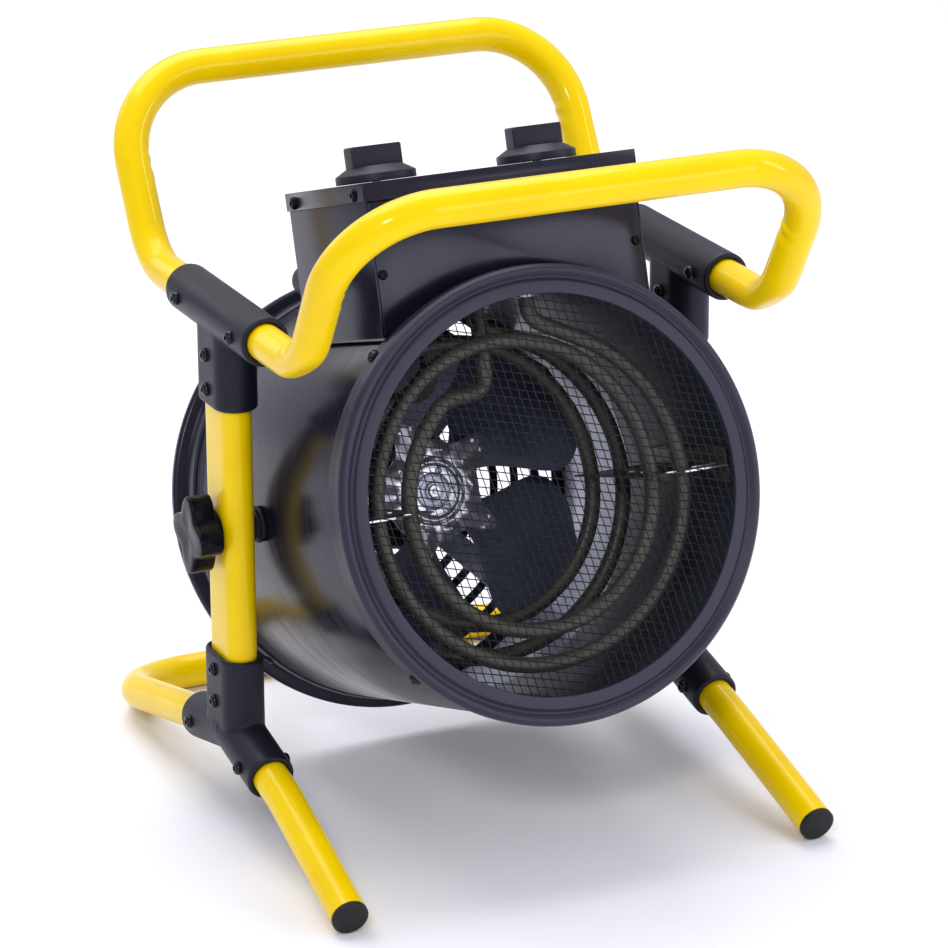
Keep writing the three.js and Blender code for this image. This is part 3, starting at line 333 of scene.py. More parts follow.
def pan_screw(height: float, radius: float, shank: float, reach: float = 0.0) -> Surface:
    """Pan-head screw along Y with a hexagon socket, its head towards -Y.

    The socket's edge at the angle t lies at s / cos(t mod 60 deg - 30 deg), and the dome
    goes over into the rim as a quarter of an ellipse.

    Args:
        height: Height of the head.
        radius: Radius of the head.
        shank: Radius of the shank.
        reach: Half the length between two heads, or nothing for a screw with one head.

    Returns:
        The surface of the screw.
    """
    sides = 24
    angle = np.arange(sides) * TURN / sides
    flat = 0.0 * angle
    socket = radius * 0.36 / np.cos(np.mod(angle, TURN / 6) - TURN / 12)
    rows = [(flat, reach + height * 0.35), (socket * 0.97, reach + height * 0.35),
            (socket, reach + height * 0.97), (socket * 1.1, reach + height)]
    for turn in np.linspace(0.15, 1.0, 6) * QUARTER:
        rows.append((radius * (0.45 + 0.55 * math.sin(turn)) + flat, reach + height * (0.25 + 0.75 * math.cos(turn))))
    rows += [(radius + flat, reach), (shank + flat, reach)]
    rows += [(row, -place) for row, place in rows[::-1]] if reach else [(shank + flat, 0.0), (flat, 0.0)]
    return grid(np.stack([np.stack([row * np.sin(angle), np.full(sides, -place), row * np.cos(angle)], axis=1)
                          for row, place in rows]))


# Finishes


def add_node(tree: bpy.types.NodeTree, kind: str, values: dict | None = None, **settings: object) -> bpy.types.Node:
    """Adds a shader node.

    Args:
        tree: Tree that it goes into.
        kind: Its type without the usual beginning.
        values: Constants of its inputs.
        settings: Its properties, which are set first.

    Returns:
        The node.
    """
    node = tree.nodes.new("ShaderNode" + kind)
    for name, value in settings.items():
        setattr(node, name, value)
    for name, value in (values or {}).items():
        node.inputs[name].default_value = value
    return node


def wire(tree: bpy.types.NodeTree, *links: tuple) -> None:
    """Makes links, each given as a node, its output, a second node and its input."""
    for source, output, sink, socket in links:
        tree.links.new(source.outputs[output], sink.inputs[socket])


def new_group(name: str, inputs: dict, outputs: dict) -> tuple:
    """Shader node group with named sockets.

    Args:
        name: Name of the group.
        inputs: Default value of each number input by its name, or the type of any other one.
        outputs: Type of each output by its name.

    Returns:
        The group, its input node and its output node.
    """
    tree = bpy.data.node_groups.new(name, "ShaderNodeTree")
    for label, value in inputs.items():
        kind = value if isinstance(value, str) else "Float"
        socket = tree.interface.new_socket(name=label, in_out="INPUT", socket_type="NodeSocket" + kind)
        if kind == "Float":
            socket.default_value = value
    for label, kind in outputs.items():
        tree.interface.new_socket(name=label, in_out="OUTPUT", socket_type="NodeSocket" + kind)
    return tree, tree.nodes.new("NodeGroupInput"), tree.nodes.new("NodeGroupOutput")


@cache
def coating_grain() -> bpy.types.NodeTree:
    """Orange peel of a coating: a coarse noise and 0.35 of a fine one added.

    Returns:
        A group from Vector, Coarse scale and Fine scale to Height.
    """
    tree, source, sink = new_group("Coating grain", {"Vector": "Vector", "Coarse scale": 300.0, "Fine scale": 1200.0},
                                   {"Height": "Float"})
    coarse = add_node(tree, "TexNoise", {"Detail": 1.0})
    fine = add_node(tree, "TexNoise", {"Detail": 2.0})
    total = add_node(tree, "Math", {1: 0.35}, operation="MULTIPLY_ADD")
    wire(tree, (source, "Vector", coarse, "Vector"), (source, "Vector", fine, "Vector"),
         (source, "Coarse scale", coarse, "Scale"), (source, "Fine scale", fine, "Scale"),
         (fine, "Fac", total, 0), (coarse, "Fac", total, 2), (total, 0, sink, "Height"))
    return tree


@cache
def handling_marks() -> bpy.types.NodeTree:
    """Slow change of colour and gloss over a surface, as handling and uneven coating leave.

    Returns:
        A group from Vector, Colour, Marked colour, Scale, Gloss and Spread to Colour and Roughness.
    """
    tree, source, sink = new_group(
        "Handling marks", {"Vector": "Vector", "Colour": "Color", "Marked colour": "Color", "Scale": 14.0,
                           "Gloss": 0.3, "Spread": 0.08}, {"Colour": "Color", "Roughness": "Float"})
    noise = add_node(tree, "TexNoise", {"Detail": 4.0, "Roughness": 0.6})
    ramp = add_node(tree, "MapRange", {"From Min": 0.35, "From Max": 0.7}, interpolation_type="SMOOTHSTEP")
    mix = add_node(tree, "Mix", data_type="RGBA")
    rough = add_node(tree, "Math", operation="MULTIPLY_ADD")
    wire(tree, (source, "Vector", noise, "Vector"), (source, "Scale", noise, "Scale"), (noise, "Fac", ramp, "Value"),
         (ramp, "Result", mix, "Factor"), (source, "Colour", mix, "A"), (source, "Marked colour", mix, "B"),
         (ramp, "Result", rough, 0), (source, "Spread", rough, 1), (source, "Gloss", rough, 2),
         (mix, "Result", sink, "Colour"), (rough, 0, sink, "Roughness"))
    return tree


@dataclass(frozen=True)
class Finish:
    """One finish: its slot of the record, colours, gloss and grain, and the material that they make.

    The colour and the marked colour are linear; the grain's scales are in cycles a metre.
    """

    name: str
    slot: str
    colour: tuple
    marked: tuple
    roughness: float
    spread: float = 0.06
    metallic: float = 0.0
    coat: float = 0.0
    coat_roughness: float = 0.08
    specular: float = 0.5
    coarse: float = 300.0
    fine: float = 1200.0
    grain: float = 0.05
    mark_scale: float = 14.0
    tint: tuple = (1.0, 1.0, 1.0)
    brushed: tuple = ()
    band: tuple = ()

    def material(self) -> bpy.types.Material:
        """Material of the finish: marks give colour and roughness, and the grain's height a bump.

        Returns:
            The material, built when it is first asked for.
        """
        known = bpy.data.materials.get(self.name)
        if known is not None:
            return known
        made = bpy.data.materials.new(self.name)
        made.use_nodes = True
        tree = made.node_tree
        shader = tree.nodes["Principled BSDF"]
        for name, value in (("Metallic", self.metallic), ("Coat Weight", self.coat),
                            ("Coat Roughness", self.coat_roughness), ("Specular IOR Level", self.specular),
                            ("Specular Tint", (*self.tint, 1.0))):
            shader.inputs[name].default_value = value
        place = add_node(tree, "TexCoord")
        drawn = {"Rotation": (-TILT, 0.0, 0.0), "Scale": self.brushed} if self.brushed else {}
        mapping = add_node(tree, "Mapping", drawn, vector_type="TEXTURE")
        marks = add_node(tree, "Group", {
            "Colour": (*self.colour, 1.0), "Marked colour": (*self.marked, 1.0), "Scale": self.mark_scale,
            "Gloss": self.roughness, "Spread": self.spread}, node_tree=handling_marks())
        grain = add_node(tree, "Group", {"Coarse scale": self.coarse, "Fine scale": self.fine},
                         node_tree=coating_grain())
        bump = add_node(tree, "Bump", {"Strength": self.grain, "Distance": BUMP_HEIGHT})
        toned = self.banded(tree, place, marks) if self.band else (marks, "Colour")
        wire(tree, (place, "Object", mapping, "Vector"), (mapping, "Vector", marks, "Vector"),
             (mapping, "Vector", grain, "Vector"), (*toned, shader, "Base Color"),
             (marks, "Roughness", shader, "Roughness"), (grain, "Height", bump, "Height"),
             (bump, "Normal", shader, "Normal"))
        return made

    def banded(self, tree: bpy.types.NodeTree, place: bpy.types.Node, marks: bpy.types.Node) -> tuple:
        """Lets the colour go over into another one below a height of the part.

        Args:
            tree: Node tree of the material.
            place: Node with the object coordinates.
            marks: Node with the colour above the band.

        Returns:
            The node with the banded colour and the name of its output.
        """
        low, high, below = self.band
        parts = add_node(tree, "SeparateXYZ")
        ramp = add_node(tree, "MapRange", {"From Min": low, "From Max": high}, interpolation_type="SMOOTHSTEP")
        mix = add_node(tree, "Mix", {"A": (*below, 1.0)}, data_type="RGBA")
        wire(tree, (place, "Object", parts, "Vector"), (parts, "Z", ramp, "Value"),
             (ramp, "Result", mix, "Factor"), (marks, "Colour", mix, "B"))
        return mix, "Result"


COOL = (0.84, 0.84, 1.0)
YELLOW = Finish("yellow powder coat", "yellow_frame", (0.86, 0.60, 0.0), (0.82, 0.55, 0.0), 0.3, 0.05,
                tint=(1.0, 0.75, 0.08), coat=0.3, coat_roughness=0.03, specular=0.22, grain=0.04, coarse=170.0,
                fine=700.0)
TEE_BLACK = Finish("black moulding", "black_tee", (0.008, 0.008, 0.015), (0.012, 0.012, 0.021), 0.4, 0.1, tint=COOL,
                   specular=0.27, grain=0.08, coarse=900.0, fine=2600.0)
DRUM_BLACK = Finish("black sheet coat", "drum_black", (0.008, 0.008, 0.017), (0.011, 0.011, 0.021), 0.2, 0.07,
                    tint=COOL, specular=0.33, grain=0.03, coarse=420.0, fine=1500.0)
DRUM_BRUSHED = Finish("brushed black sheet coat", "drum_black", (0.006, 0.006, 0.014), (0.009, 0.009, 0.019), 0.19,
                      0.08, tint=COOL, specular=0.28, coarse=260.0, fine=900.0, mark_scale=120.0,
                      brushed=(9.0, 0.7, 9.0))
RING_GREY = Finish("blue-grey sheet coat", "ring_grey", (0.018, 0.018, 0.034), (0.023, 0.023, 0.041), 0.36, 0.07,
                   tint=COOL, specular=0.32, grain=0.04, coarse=500.0, fine=1700.0)
KNOB_BLACK = Finish("black dial moulding", "knob_black", (0.010, 0.011, 0.018), (0.015, 0.016, 0.024), 0.4, 0.1,
                    tint=COOL, specular=0.33, grain=0.06, coarse=1100.0, fine=3000.0)
STAR_GLOSS = Finish("glossy black moulding", "star_knob", (0.003, 0.003, 0.006), (0.005, 0.005, 0.009), 0.17,
                    tint=COOL, specular=0.12, grain=0.02, fine=900.0)
SCREW_OXIDE = Finish("black oxide screw steel", "bolt_steel", (0.002, 0.002, 0.004), (0.004, 0.004, 0.007), 0.22,
                     0.08, specular=0.1, grain=0.03, coarse=1500.0, fine=4000.0, mark_scale=160.0)
SCREW_BLACK = Finish("blackened screw steel", "bolt_steel", (0.004, 0.004, 0.006), (0.008, 0.008, 0.012), 0.2, 0.1,
                     specular=0.28, grain=0.03, coarse=1500.0, fine=4000.0, mark_scale=160.0)
SHEATH = Finish("heat tinted sheath", "element_steel", (0.05, 0.048, 0.040), (0.072, 0.069, 0.058), 0.42, 0.12,
                metallic=0.25, grain=0.04, coarse=900.0, fine=2600.0, mark_scale=26.0)
# Dark liner sheet. Below the band its colour goes over into a pale one: painted light on the bottom of the liner.
LINER_STEEL = Finish("dark liner sheet with painted light below", "pale_sheet", (0.018, 0.022, 0.036), (0.024, 0.028, 0.044), 0.36,
                     specular=0.22, tint=COOL, grain=0.0, mark_scale=22.0, band=(0.085, 0.115, (0.36, 0.37, 0.46)))
# Pale zinc sleeve painted dark above the band: painted shade on the upper inside of the drum.
LINING_STEEL = Finish("shaded zinc sleeve", "pale_sheet", (0.05, 0.055, 0.075), (0.08, 0.085, 0.11), 0.24, 0.1,
                      metallic=0.3, grain=0.0, mark_scale=20.0, band=(0.215, 0.262, (0.52, 0.53, 0.65)))
PALE_STEEL = Finish("zinc coated sheet", "pale_sheet", (0.44, 0.45, 0.55), (0.56, 0.57, 0.66), 0.35, 0.12,
                    metallic=0.2, grain=0.02, coarse=260.0, fine=900.0, mark_scale=30.0)
BRIGHT_STEEL = Finish("bright pressed steel", "bright_metal", (0.80, 0.81, 0.92), (0.76, 0.77, 0.87), 0.3, 0.03,
                      metallic=0.85, grain=0.0, mark_scale=40.0)
BLADE_DARK = Finish("dark blade coat", "motor_black", (0.072, 0.080, 0.131), (0.093, 0.102, 0.16), 0.22, tint=COOL,
                    grain=0.0)
MOTOR_BLACK = Finish("motor enamel", "motor_black", (0.008, 0.008, 0.01), (0.013, 0.013, 0.016), 0.42, 0.1)
MESH_WIRE = Finish("mesh wire", "grille_wire", (0.006, 0.006, 0.009), (0.012, 0.013, 0.018), 0.35, 0.1,
                   metallic=0.3, grain=0.0)
CERAMIC = Finish("unglazed ceramic", "pale_ceramic", (0.78, 0.75, 0.68), (0.7, 0.66, 0.58), 0.6, 0.1)
SOFT_RUBBER = Finish("black rubber", "rubber", (0.008, 0.008, 0.01), (0.013, 0.013, 0.016), 0.55, 0.12,
                     specular=0.3, grain=0.08)
DIAL_WHITE = Finish("white dial print", "pale_ceramic", (0.8, 0.8, 0.82), (0.7, 0.7, 0.72), 0.5, 0.05, grain=0.02)
FLOOR_PALE = Finish("pale studio floor", "", (0.87, 0.87, 0.92), (0.86, 0.86, 0.91), 0.6, 0.02, specular=0.1,
                    grain=0.0)


# Pieces


def weld(mesh: bpy.types.Mesh, merge_level: bool = False) -> None:
    """Merges the doubled points of seams and poles.

    Args:
        mesh: Mesh that is mended.
        merge_level: Whether faces that lie level are merged, instead of dropping those without area.
    """
    work = bmesh.new()
    work.from_mesh(mesh)
    bmesh.ops.remove_doubles(work, verts=work.verts, dist=WELD_GAP)
    if merge_level:
        bmesh.ops.dissolve_limit(work, angle_limit=math.radians(1.0), verts=work.verts, edges=work.edges)
    else:
        bmesh.ops.dissolve_degenerate(work, edges=work.edges, dist=LEAST_EDGE)
    work.to_mesh(mesh)
    work.free()


def new_object(name: str, surface: Surface, space: Space, floor: bool = False) -> bpy.types.Object:
    """Puts a surface into the mesh of a new object.

    Args:
        name: Name of the object and of its mesh.
        surface: Its surface in millimetres.
        space: Frame of the surface.
        floor: Whether points under the floor are pressed flat onto it.

    Returns:
        The object, not linked yet.
    """
    points = placed(surface.points, space)
    if floor:
        points[:, 2] = np.maximum(points[:, 2], 0.0)
    mesh = bpy.data.meshes.new(name)
    mesh.from_pydata(points.tolist(), [], surface.quads.tolist())
    weld(mesh)
    return bpy.data.objects.new(name, mesh)


def settled(piece: bpy.types.Object) -> None:
    """Applies the live modifiers of a linked piece to its mesh and takes it out of the scene.

    Args:
        piece: Object that is linked to the scene.
    """
    graph = bpy.context.evaluated_depsgraph_get()
    made = bpy.data.meshes.new_from_object(piece.evaluated_get(graph))
    piece.modifiers.clear()
    piece.data = made
    bpy.context.scene.collection.objects.unlink(piece)


def dress(piece: bpy.types.Object, finish: Finish, body: str, node: str, crease: float, slot: str = "") -> None:
    """Links a piece, smooths it, gives it its finish and body, and hides the CAD node that it stands for.

    Args:
        piece: Object with its mesh.
        finish: Finish of the piece.
        body: Body that it rides on.
        node: CAD node that it stands for, if any.
        crease: Angle in degrees above which an edge stays sharp.
        slot: Material slot of the record where it isn't the finish's own; not used.
    """
    mesh = piece.data
    bpy.context.scene.collection.objects.link(piece)
    mesh.materials.clear()
    mesh.materials.append(finish.material())
    mesh.polygons.foreach_set("use_smooth", np.ones(len(mesh.polygons), dtype=bool))
    mesh.set_sharp_from_angle(angle=math.radians(crease))
    mesh.update()
    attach(piece, body)
    slot or finish.slot
    if node:
        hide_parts(node)
    LOG.info("%s: %d faces on %s", piece.name, len(mesh.polygons), body)


def recolour(node: str, finish: Finish) -> None:
    """Gives a CAD node a better material.

    Args:
        node: Name of the node.
        finish: Finish whose material it gets.
    """
    for slot in frame["nodes"][node].material_slots:
        slot.material = finish.material()
    LOG.info("%s: kept with %s", node, finish.name)


@dataclass
class Assembly:
    """Sub-assembly whose pieces share a frame and, unless they say otherwise, a body."""

    space: Space = Space.DRUM
    body: str = "drum"

    def piece(self, name: str, surface: Surface, finish: Finish, node: str = "", crease: float = SHEET_CREASE,
              body: str = "", slot: str = "", floor: bool = False) -> None:
        """Builds and dresses one piece.

        Args:
            name: Name of the piece.
            surface: Its surface in millimetres.
            finish: Finish of the piece.
            node: CAD node that it stands for, if any.
            crease: Angle in degrees above which an edge stays sharp.
            body: Body that it rides on where it isn't the assembly's own.
            slot: Material slot of the record where it isn't the finish's own.
            floor: Whether points under the floor are pressed flat onto it.
        """
        dress(new_object(name, surface, self.space, floor), finish, body or self.body, node, crease, slot)

    def softened(self, name: str, node: str, finish: Finish, edge: float) -> None:
        """Dresses a copy of a CAD node, with merged corners and softly rounded edges, on the drum.

        Args:
            name: Name of the piece.
            node: CAD node that it copies and stands for.
            finish: Finish of the piece.
            edge: Width of the rounded edge in millimetres.
        """
        mesh = frame["nodes"][node].data.copy()
        mesh.name = name
        weld(mesh, merge_level=True)
        piece = bpy.data.objects.new(name, mesh)
        bpy.context.scene.collection.objects.link(piece)
        bevel = piece.modifiers.new("edge", "BEVEL")
        bevel.width = edge * MM
        bevel.segments = 2
        bevel.angle_limit = math.radians(25.0)
        settled(piece)
        dress(piece, finish, "drum", node, SMALL_CREASE)


# Stand


@dataclass(frozen=True)
class Dimple:
    """Dimple in a tube, or a bulge where its depth is less than nothing."""

    depth: float
    length: float
    width: float


@dataclass
class TubularStand(Assembly):
    """Yellow tubes and black tees that carry the drum; sizes in millimetres."""

    space: Space = Space.STAND
    body: str = "frame"
    half_width: float = 169.2
    tube_radius: float = 12.46
    tube_wall: float = 1.5
    tube_sides: int = 40
    upright_depth: float = 46.0
    upright_thickness: float = 22.0
    upright_wall: float = 1.8
    upright_overlap: tuple = (6.0, 12.3)
    tee_wall: float = 4.0
    top_height: float = 364.5
    top_reach: float = 69.6
    top_drop: float = 61.5
    foot_reach: float = 62.7
    foot_end_height: float = 54.3
    foot_slope: float = math.radians(12.8)
    foot_top: float = 125.0
    in_tee: float = 42.0
    handle_reach: float = 200.9
    handle_height: float = 481.1
    handle_lean: float = math.radians(30.0)
    handle_tee_bend: float = 46.0
    handle_corner_bend: float = 64.0
    crush: Dimple = Dimple(5.4, 3.4, 0.36)
    crush_flat: Dimple = Dimple(4.4, 17.0, 0.9)
    crush_lip: Dimple = Dimple(-1.6, 3.0, 0.45)
    crush_shift: float = 2.5
    lip_distance: float = 6.0
    ripples: tuple = tuple((back, Dimple(depth, 3.2, 0.55))
                           for back, depth in ((57.0, 1.1), (62.0, -0.8), (68.0, 1.3), (74.0, -0.6)))
    front_reach: float = 204.6
    front_straight: float = 22.0
    front_bend: float = 60.0
    front_splay: float = 3.8
    plug_height: float = 2.8
    rear_reach: float = 241.6
    rear_bend: float = 60.0
    rear_straight: float = 6.0
    rear_flat: float = 0.3
    tube_facets: int = 12
    bolt_radius: float = 4.7
    bolt_height: float = 3.2
    bolt_shank: float = 2.4
    top_bolts: tuple = (48.0, 26.2, 50.2)
    foot_bolts: tuple = (45.0, 11.3, 34.6)
    drum_side: float = 148.9
    tee_voxel: float = 1.0
    tee_rounds: int = 6

    @property
    def tee_radius(self) -> float:
        """Outer radius of a tee's round arm."""
        return self.tube_radius + CLEAR + self.tee_wall

    @property
    def leg_half(self) -> float:
        """Half the width of a tee's oval leg across the stand."""
        return self.upright_thickness / 2 + CLEAR + self.tee_wall

    @property
    def foot_height(self) -> float:
        """Height at which the foot tee's arms would meet."""
        return self.foot_end_height + self.foot_reach * math.tan(self.foot_slope)

    def foot_arm(self, way: int, length: float) -> list:
        """Place on a foot tee's arm, a length back from its end, in Y and Z."""
        return [way * self.foot_reach - way * math.cos(self.foot_slope) * length,
                self.foot_end_height + math.sin(self.foot_slope) * length]

    def pipe(self, path: np.ndarray, dents: tuple | list = ()) -> Surface:
        """Round tube along a path, with dimples.

        A dimple lowers the radius by depth exp(-(d / length)^2) exp(-(b / width)^2), with d the
        distance from its place and b the angle from the side that it faces.

        Args:
            path: Points of the path.
            dents: Place, direction and Dimple of each.

        Returns:
            The surface of the tube.
        """
        offset = wall(path, circle(1.0, self.tube_sides), (0.577, 0.577, -0.577)) - path[:, None]
        scale = np.full(offset.shape[:2], self.tube_radius)
        for place, facing, dent in dents:
            distance = np.linalg.norm(path - np.array(place), axis=1)[:, None]
            cosine = np.einsum("uvk,k->uv", offset, np.array(facing) / np.linalg.norm(facing))
            away = np.arccos(np.clip(cosine, -1.0, 1.0))
            scale = scale - dent.depth * np.exp(-(distance / dent.length) ** 2) * np.exp(-(away / dent.width) ** 2)
        return grid(np.vstack([path[:, None] + offset * scale[..., None],
                               (path[:, None] + offset * (scale - self.tube_wall)[..., None])[::-1]]), True)

    def handle(self, way: int) -> Surface:
        """Carrying handle with rippled upper bends; the front one is crushed at its tee bends.

        Args:
            way: -1 for the front handle and 1 for the rear one.

        Returns:
            The surface of the tube.
        """
        lean = (self.handle_height - self.top_height) * math.tan(self.handle_lean)
        bend = [-self.half_width, way * (self.handle_reach - lean), self.top_height]
        half = [[-self.half_width, way * (self.top_reach - self.in_tee + CLEAR), self.top_height], bend,
                [-self.half_width, way * self.handle_reach, self.handle_height]]
        radii = [self.handle_tee_bend, self.handle_corner_bend, self.handle_corner_bend, self.handle_tee_bend]
        rise = QUARTER - self.handle_lean
        facing = (0.0, -way * math.sin(rise / 2), math.cos(rise / 2))
        inset = self.handle_tee_bend * (1.0 / math.cos(rise / 2) - 1.0)
        middle = np.array([bend[1] + facing[1] * inset, bend[2] + facing[2] * inset])
        across = np.array([facing[2], -facing[1]])
        leg = np.array([way * math.sin(self.handle_lean), math.cos(self.handle_lean)])
        top = np.array([way * self.handle_reach, self.handle_height])
        dents = []
        for side in (-1, 1):
            x, inner_side = side * self.half_width, (0.62 * side, *facing[1:])
            if way < 0:
                dents += [((x, *(middle + self.crush_shift * across)), inner_side, self.crush),
                          ((x, *middle), tuple(-part for part in facing), self.crush_flat)]
                dents += [((x, *(middle + (self.crush_shift + turn * self.lip_distance) * across)), inner_side,
                           self.crush_lip) for turn in (-1, 1)]
            dents += [((x, *(top - leg * back)), (-side, 0.0, 0.0), ripple) for back, ripple in self.ripples]
        corners = half + [[-x, y, z] for x, y, z in half[::-1]]
        return self.pipe(spaced(rounded(corners, radii, 3.0), 2.5), dents)

    def front_foot(self, side: int) -> tuple:
        """Tube of a front foot and the place and direction of its plug.

        The end's height on the floor depends on the slope, so a few rounds settle both.

        Args:
            side: -1 for the left one and 1 for the right one.

        Returns:
            The surface, the plug's place and the direction down the tube.
        """
        x = side * self.half_width
        start = np.array([x, *self.foot_arm(-1, self.in_tee - CLEAR)])
        bend = np.array([x, *self.foot_arm(-1, -self.front_straight)])
        slope = self.foot_slope
        for _ in range(6):
            slope = math.atan2(bend[2] - self.tube_radius * math.cos(slope), bend[1] + self.front_reach)
        end = np.array([x + side * self.front_splay, -self.front_reach, self.tube_radius * math.cos(slope)])
        along = (end - bend) / np.linalg.norm(end - bend)
        path = rounded([start, bend, end - along * self.plug_height], [self.front_bend], 4.0)
        return self.pipe(spaced(path, 8.0)), end, along

    def foot_plug(self, end: np.ndarray, along: np.ndarray) -> Surface:
        """Domed plug at the end of a front foot, turned about the tube's own axis.

        Args:
            end: Middle of the tube's end.
            along: Direction down the tube.

        Returns:
            The surface of the plug.
        """
        radius = self.tube_radius
        profile = rounded([(0.0, 2.6), (radius * 0.8, 2.3), (radius, 0.6), (radius, -2.5),
                           (radius - 2.0, -2.5), (radius - 2.0, -12.0), (0.0, -12.0)],
                          [3.0, 1.2, 0.3, 0.3, 1.0], 15.0)
        plug = lathe(profile, 48, closed=False)
        turn = np.array(Vector((0.0, -1.0, 0.0)).rotation_difference(Vector(along)).to_matrix())
        return Surface(plug.points @ turn.T + end, plug.quads)

    def rear_foot(self) -> Surface:
        """U-shaped rear foot whose crossbar lies flat on the floor.

        Returns:
            The surface of the tube.
        """
        height = self.tube_radius * math.cos(math.pi / self.tube_facets) - self.rear_flat
        half = [[-self.half_width, *self.foot_arm(1, self.in_tee - CLEAR)],
                [-self.half_width, *self.foot_arm(1, -self.rear_straight)],
                [-self.half_width, self.rear_reach, height]]
        corners = half + [[-x, y, z] for x, y, z in half[::-1]]
        return self.pipe(spaced(rounded(corners, [self.rear_bend] * 4, 4.0), 5.0))

    def upright(self, side: int) -> Surface:
        """Flat oval tube between the tees of one side.

        Args:
            side: -1 for the left one and 1 for the right one.

        Returns:
            The surface, its outer wall followed by its inner wall back to the start.
        """
        low, high = self.foot_height + self.upright_overlap[0], self.top_height - self.upright_overlap[1]
        path = np.array([[side * self.half_width, 0.0, z] for z in np.linspace(low, high, 12)])
        walls = [wall(path, oval(self.upright_depth - grow, self.upright_thickness - grow), ALONG_Y)
                 for grow in (0.0, 2 * self.upright_wall)]
        return grid(np.vstack([walls[0], walls[1][::-1]]), True)

    def sleeve(self, start: np.ndarray, end: np.ndarray, outer: np.ndarray, inner: np.ndarray,
               reference: tuple) -> Surface:
        """Blind sleeve: its outer wall, softened mouth, bore and closed floor at the start.

        Rows run from the middle of the closed end over the outer wall to the mouth and back
        down the bore to its floor.

        Args:
            start: Middle of the closed end.
            end: Middle of the mouth.
            outer: Outline of the outer wall.
            inner: Outline of the bore.
            reference: Direction that the axis isn't parallel to.

        Returns:
            The surface of the sleeve.
        """
        axis = (end - start) / np.linalg.norm(end - start)
        bore = end - axis * self.in_tee
        rows = [(start, outer * POLE), (start, outer), (end - axis * 1.2, outer), (end - axis * 0.35, outer * 0.975),
                (end, outer * 0.93), (end, inner * 1.05), (end - axis * 0.8, inner), (bore, inner),
                (bore, inner * POLE)]
        first = np.cross(np.array(reference), axis)
        first /= np.linalg.norm(first)
        second = np.cross(axis, first)
        return grid(np.stack([place + loop[:, :1] * first + loop[:, 1:] * second for place, loop in rows]))

    def tee(self, side: int, top: bool) -> list:
        """The three sleeves of a tee: front arm, rear arm and leg.

        Args:
            side: -1 for the left tee and 1 for the right one.
            top: Whether it is a top tee.

        Returns:
            The surfaces, which overlap in the middle of the tee.
        """
        x = side * self.half_width
        arms = []
        for way in (-1, 1):
            start, end = [-way * 6.0, self.top_height], [way * self.top_reach, self.top_height]
            if not top:
                start = self.foot_arm(way, self.foot_reach / math.cos(self.foot_slope) + 5.0)
                end = self.foot_arm(way, 0.0)
            arms.append(self.sleeve(np.array([x, *start]), np.array([x, *end]), circle(self.tee_radius, 64),
                                    circle(self.tube_radius + CLEAR, 64), ALONG_X))
        outlines = [oval(self.upright_depth + grow, self.upright_thickness + grow, 32)
                    for grow in (2 * (CLEAR + self.tee_wall), 2 * CLEAR)]
        centre = self.top_height if top else self.foot_height
        mouth = self.top_height - self.top_drop if top else self.foot_top
        return [*arms, self.sleeve(np.array([x, 0.0, centre]), np.array([x, 0.0, mouth]), *outlines, ALONG_Y)]

    def make_tee(self, label: str, side: int, top: bool) -> None:
        """Joins a tee's sleeves into one moulding with filleted inner corners and dresses it.

        Args:
            label: Name of the tee's CAD node.
            side: -1 for the left tee and 1 for the right one.
            top: Whether it is a top tee.
        """
        name = f"{label}_moulding"
        whole, *others = [new_object(f"{name}_part_{number}", surface, self.space)
                          for number, surface in enumerate(self.tee(side, top))]
        for part in (whole, *others):
            bpy.context.scene.collection.objects.link(part)
        for part in others:
            union = whole.modifiers.new("union", "BOOLEAN")
            union.operation = "UNION"
            union.solver = "EXACT"
            union.object = part
        remesh = whole.modifiers.new("skin", "REMESH")
        remesh.mode = "VOXEL"
        remesh.voxel_size = self.tee_voxel * MM
        smooth = whole.modifiers.new("fillet", "SMOOTH")
        smooth.factor = 0.5
        smooth.iterations = self.tee_rounds
        settled(whole)
        for part in others:
            bpy.data.objects.remove(part)
        whole.name = whole.data.name = name
        dress(whole, TEE_BLACK, self.body, label, TUBE_CREASE)

    def bolt_places(self, top: bool) -> list:
        """Name part, Y, Z and half length under the heads of each bolt of a tee.

        Args:
            top: Whether it is a top tee.

        Returns:
            The front, rear, upper and lower bolt.
        """
        across, *drops = self.top_bolts if top else self.foot_bolts
        arm = self.top_height if top else self.foot_height - across * math.tan(self.foot_slope)
        upper, lower = ((self.top_height if top else self.foot_top) - drop for drop in drops)
        return [("front", -across, arm, self.tee_radius), ("rear", across, arm, self.tee_radius),
                ("upper", 0.0, upper, self.leg_half), ("lower", 0.0, lower, self.leg_half)]

    def spacer(self, side: int) -> Surface:
        """Washers between the drum and one upright, as a stepped bush.

        Args:
            side: -1 for the left one and 1 for the right one.

        Returns:
            The surface of the bush.
        """
        inner, outer = self.drum_side, self.half_width - self.upright_thickness / 2 - CLEAR
        profile = rounded_loop([(4.6, inner), (12.5, inner), (12.5, inner + 3.0), (9.5, inner + 3.0),
                                (9.5, outer - 2.0), (12.5, outer - 2.0), (12.5, outer), (4.6, outer)], 0.4)
        return lathe(profile, 48).turned("Z", side * QUARTER).moved(z=PIVOT[2])

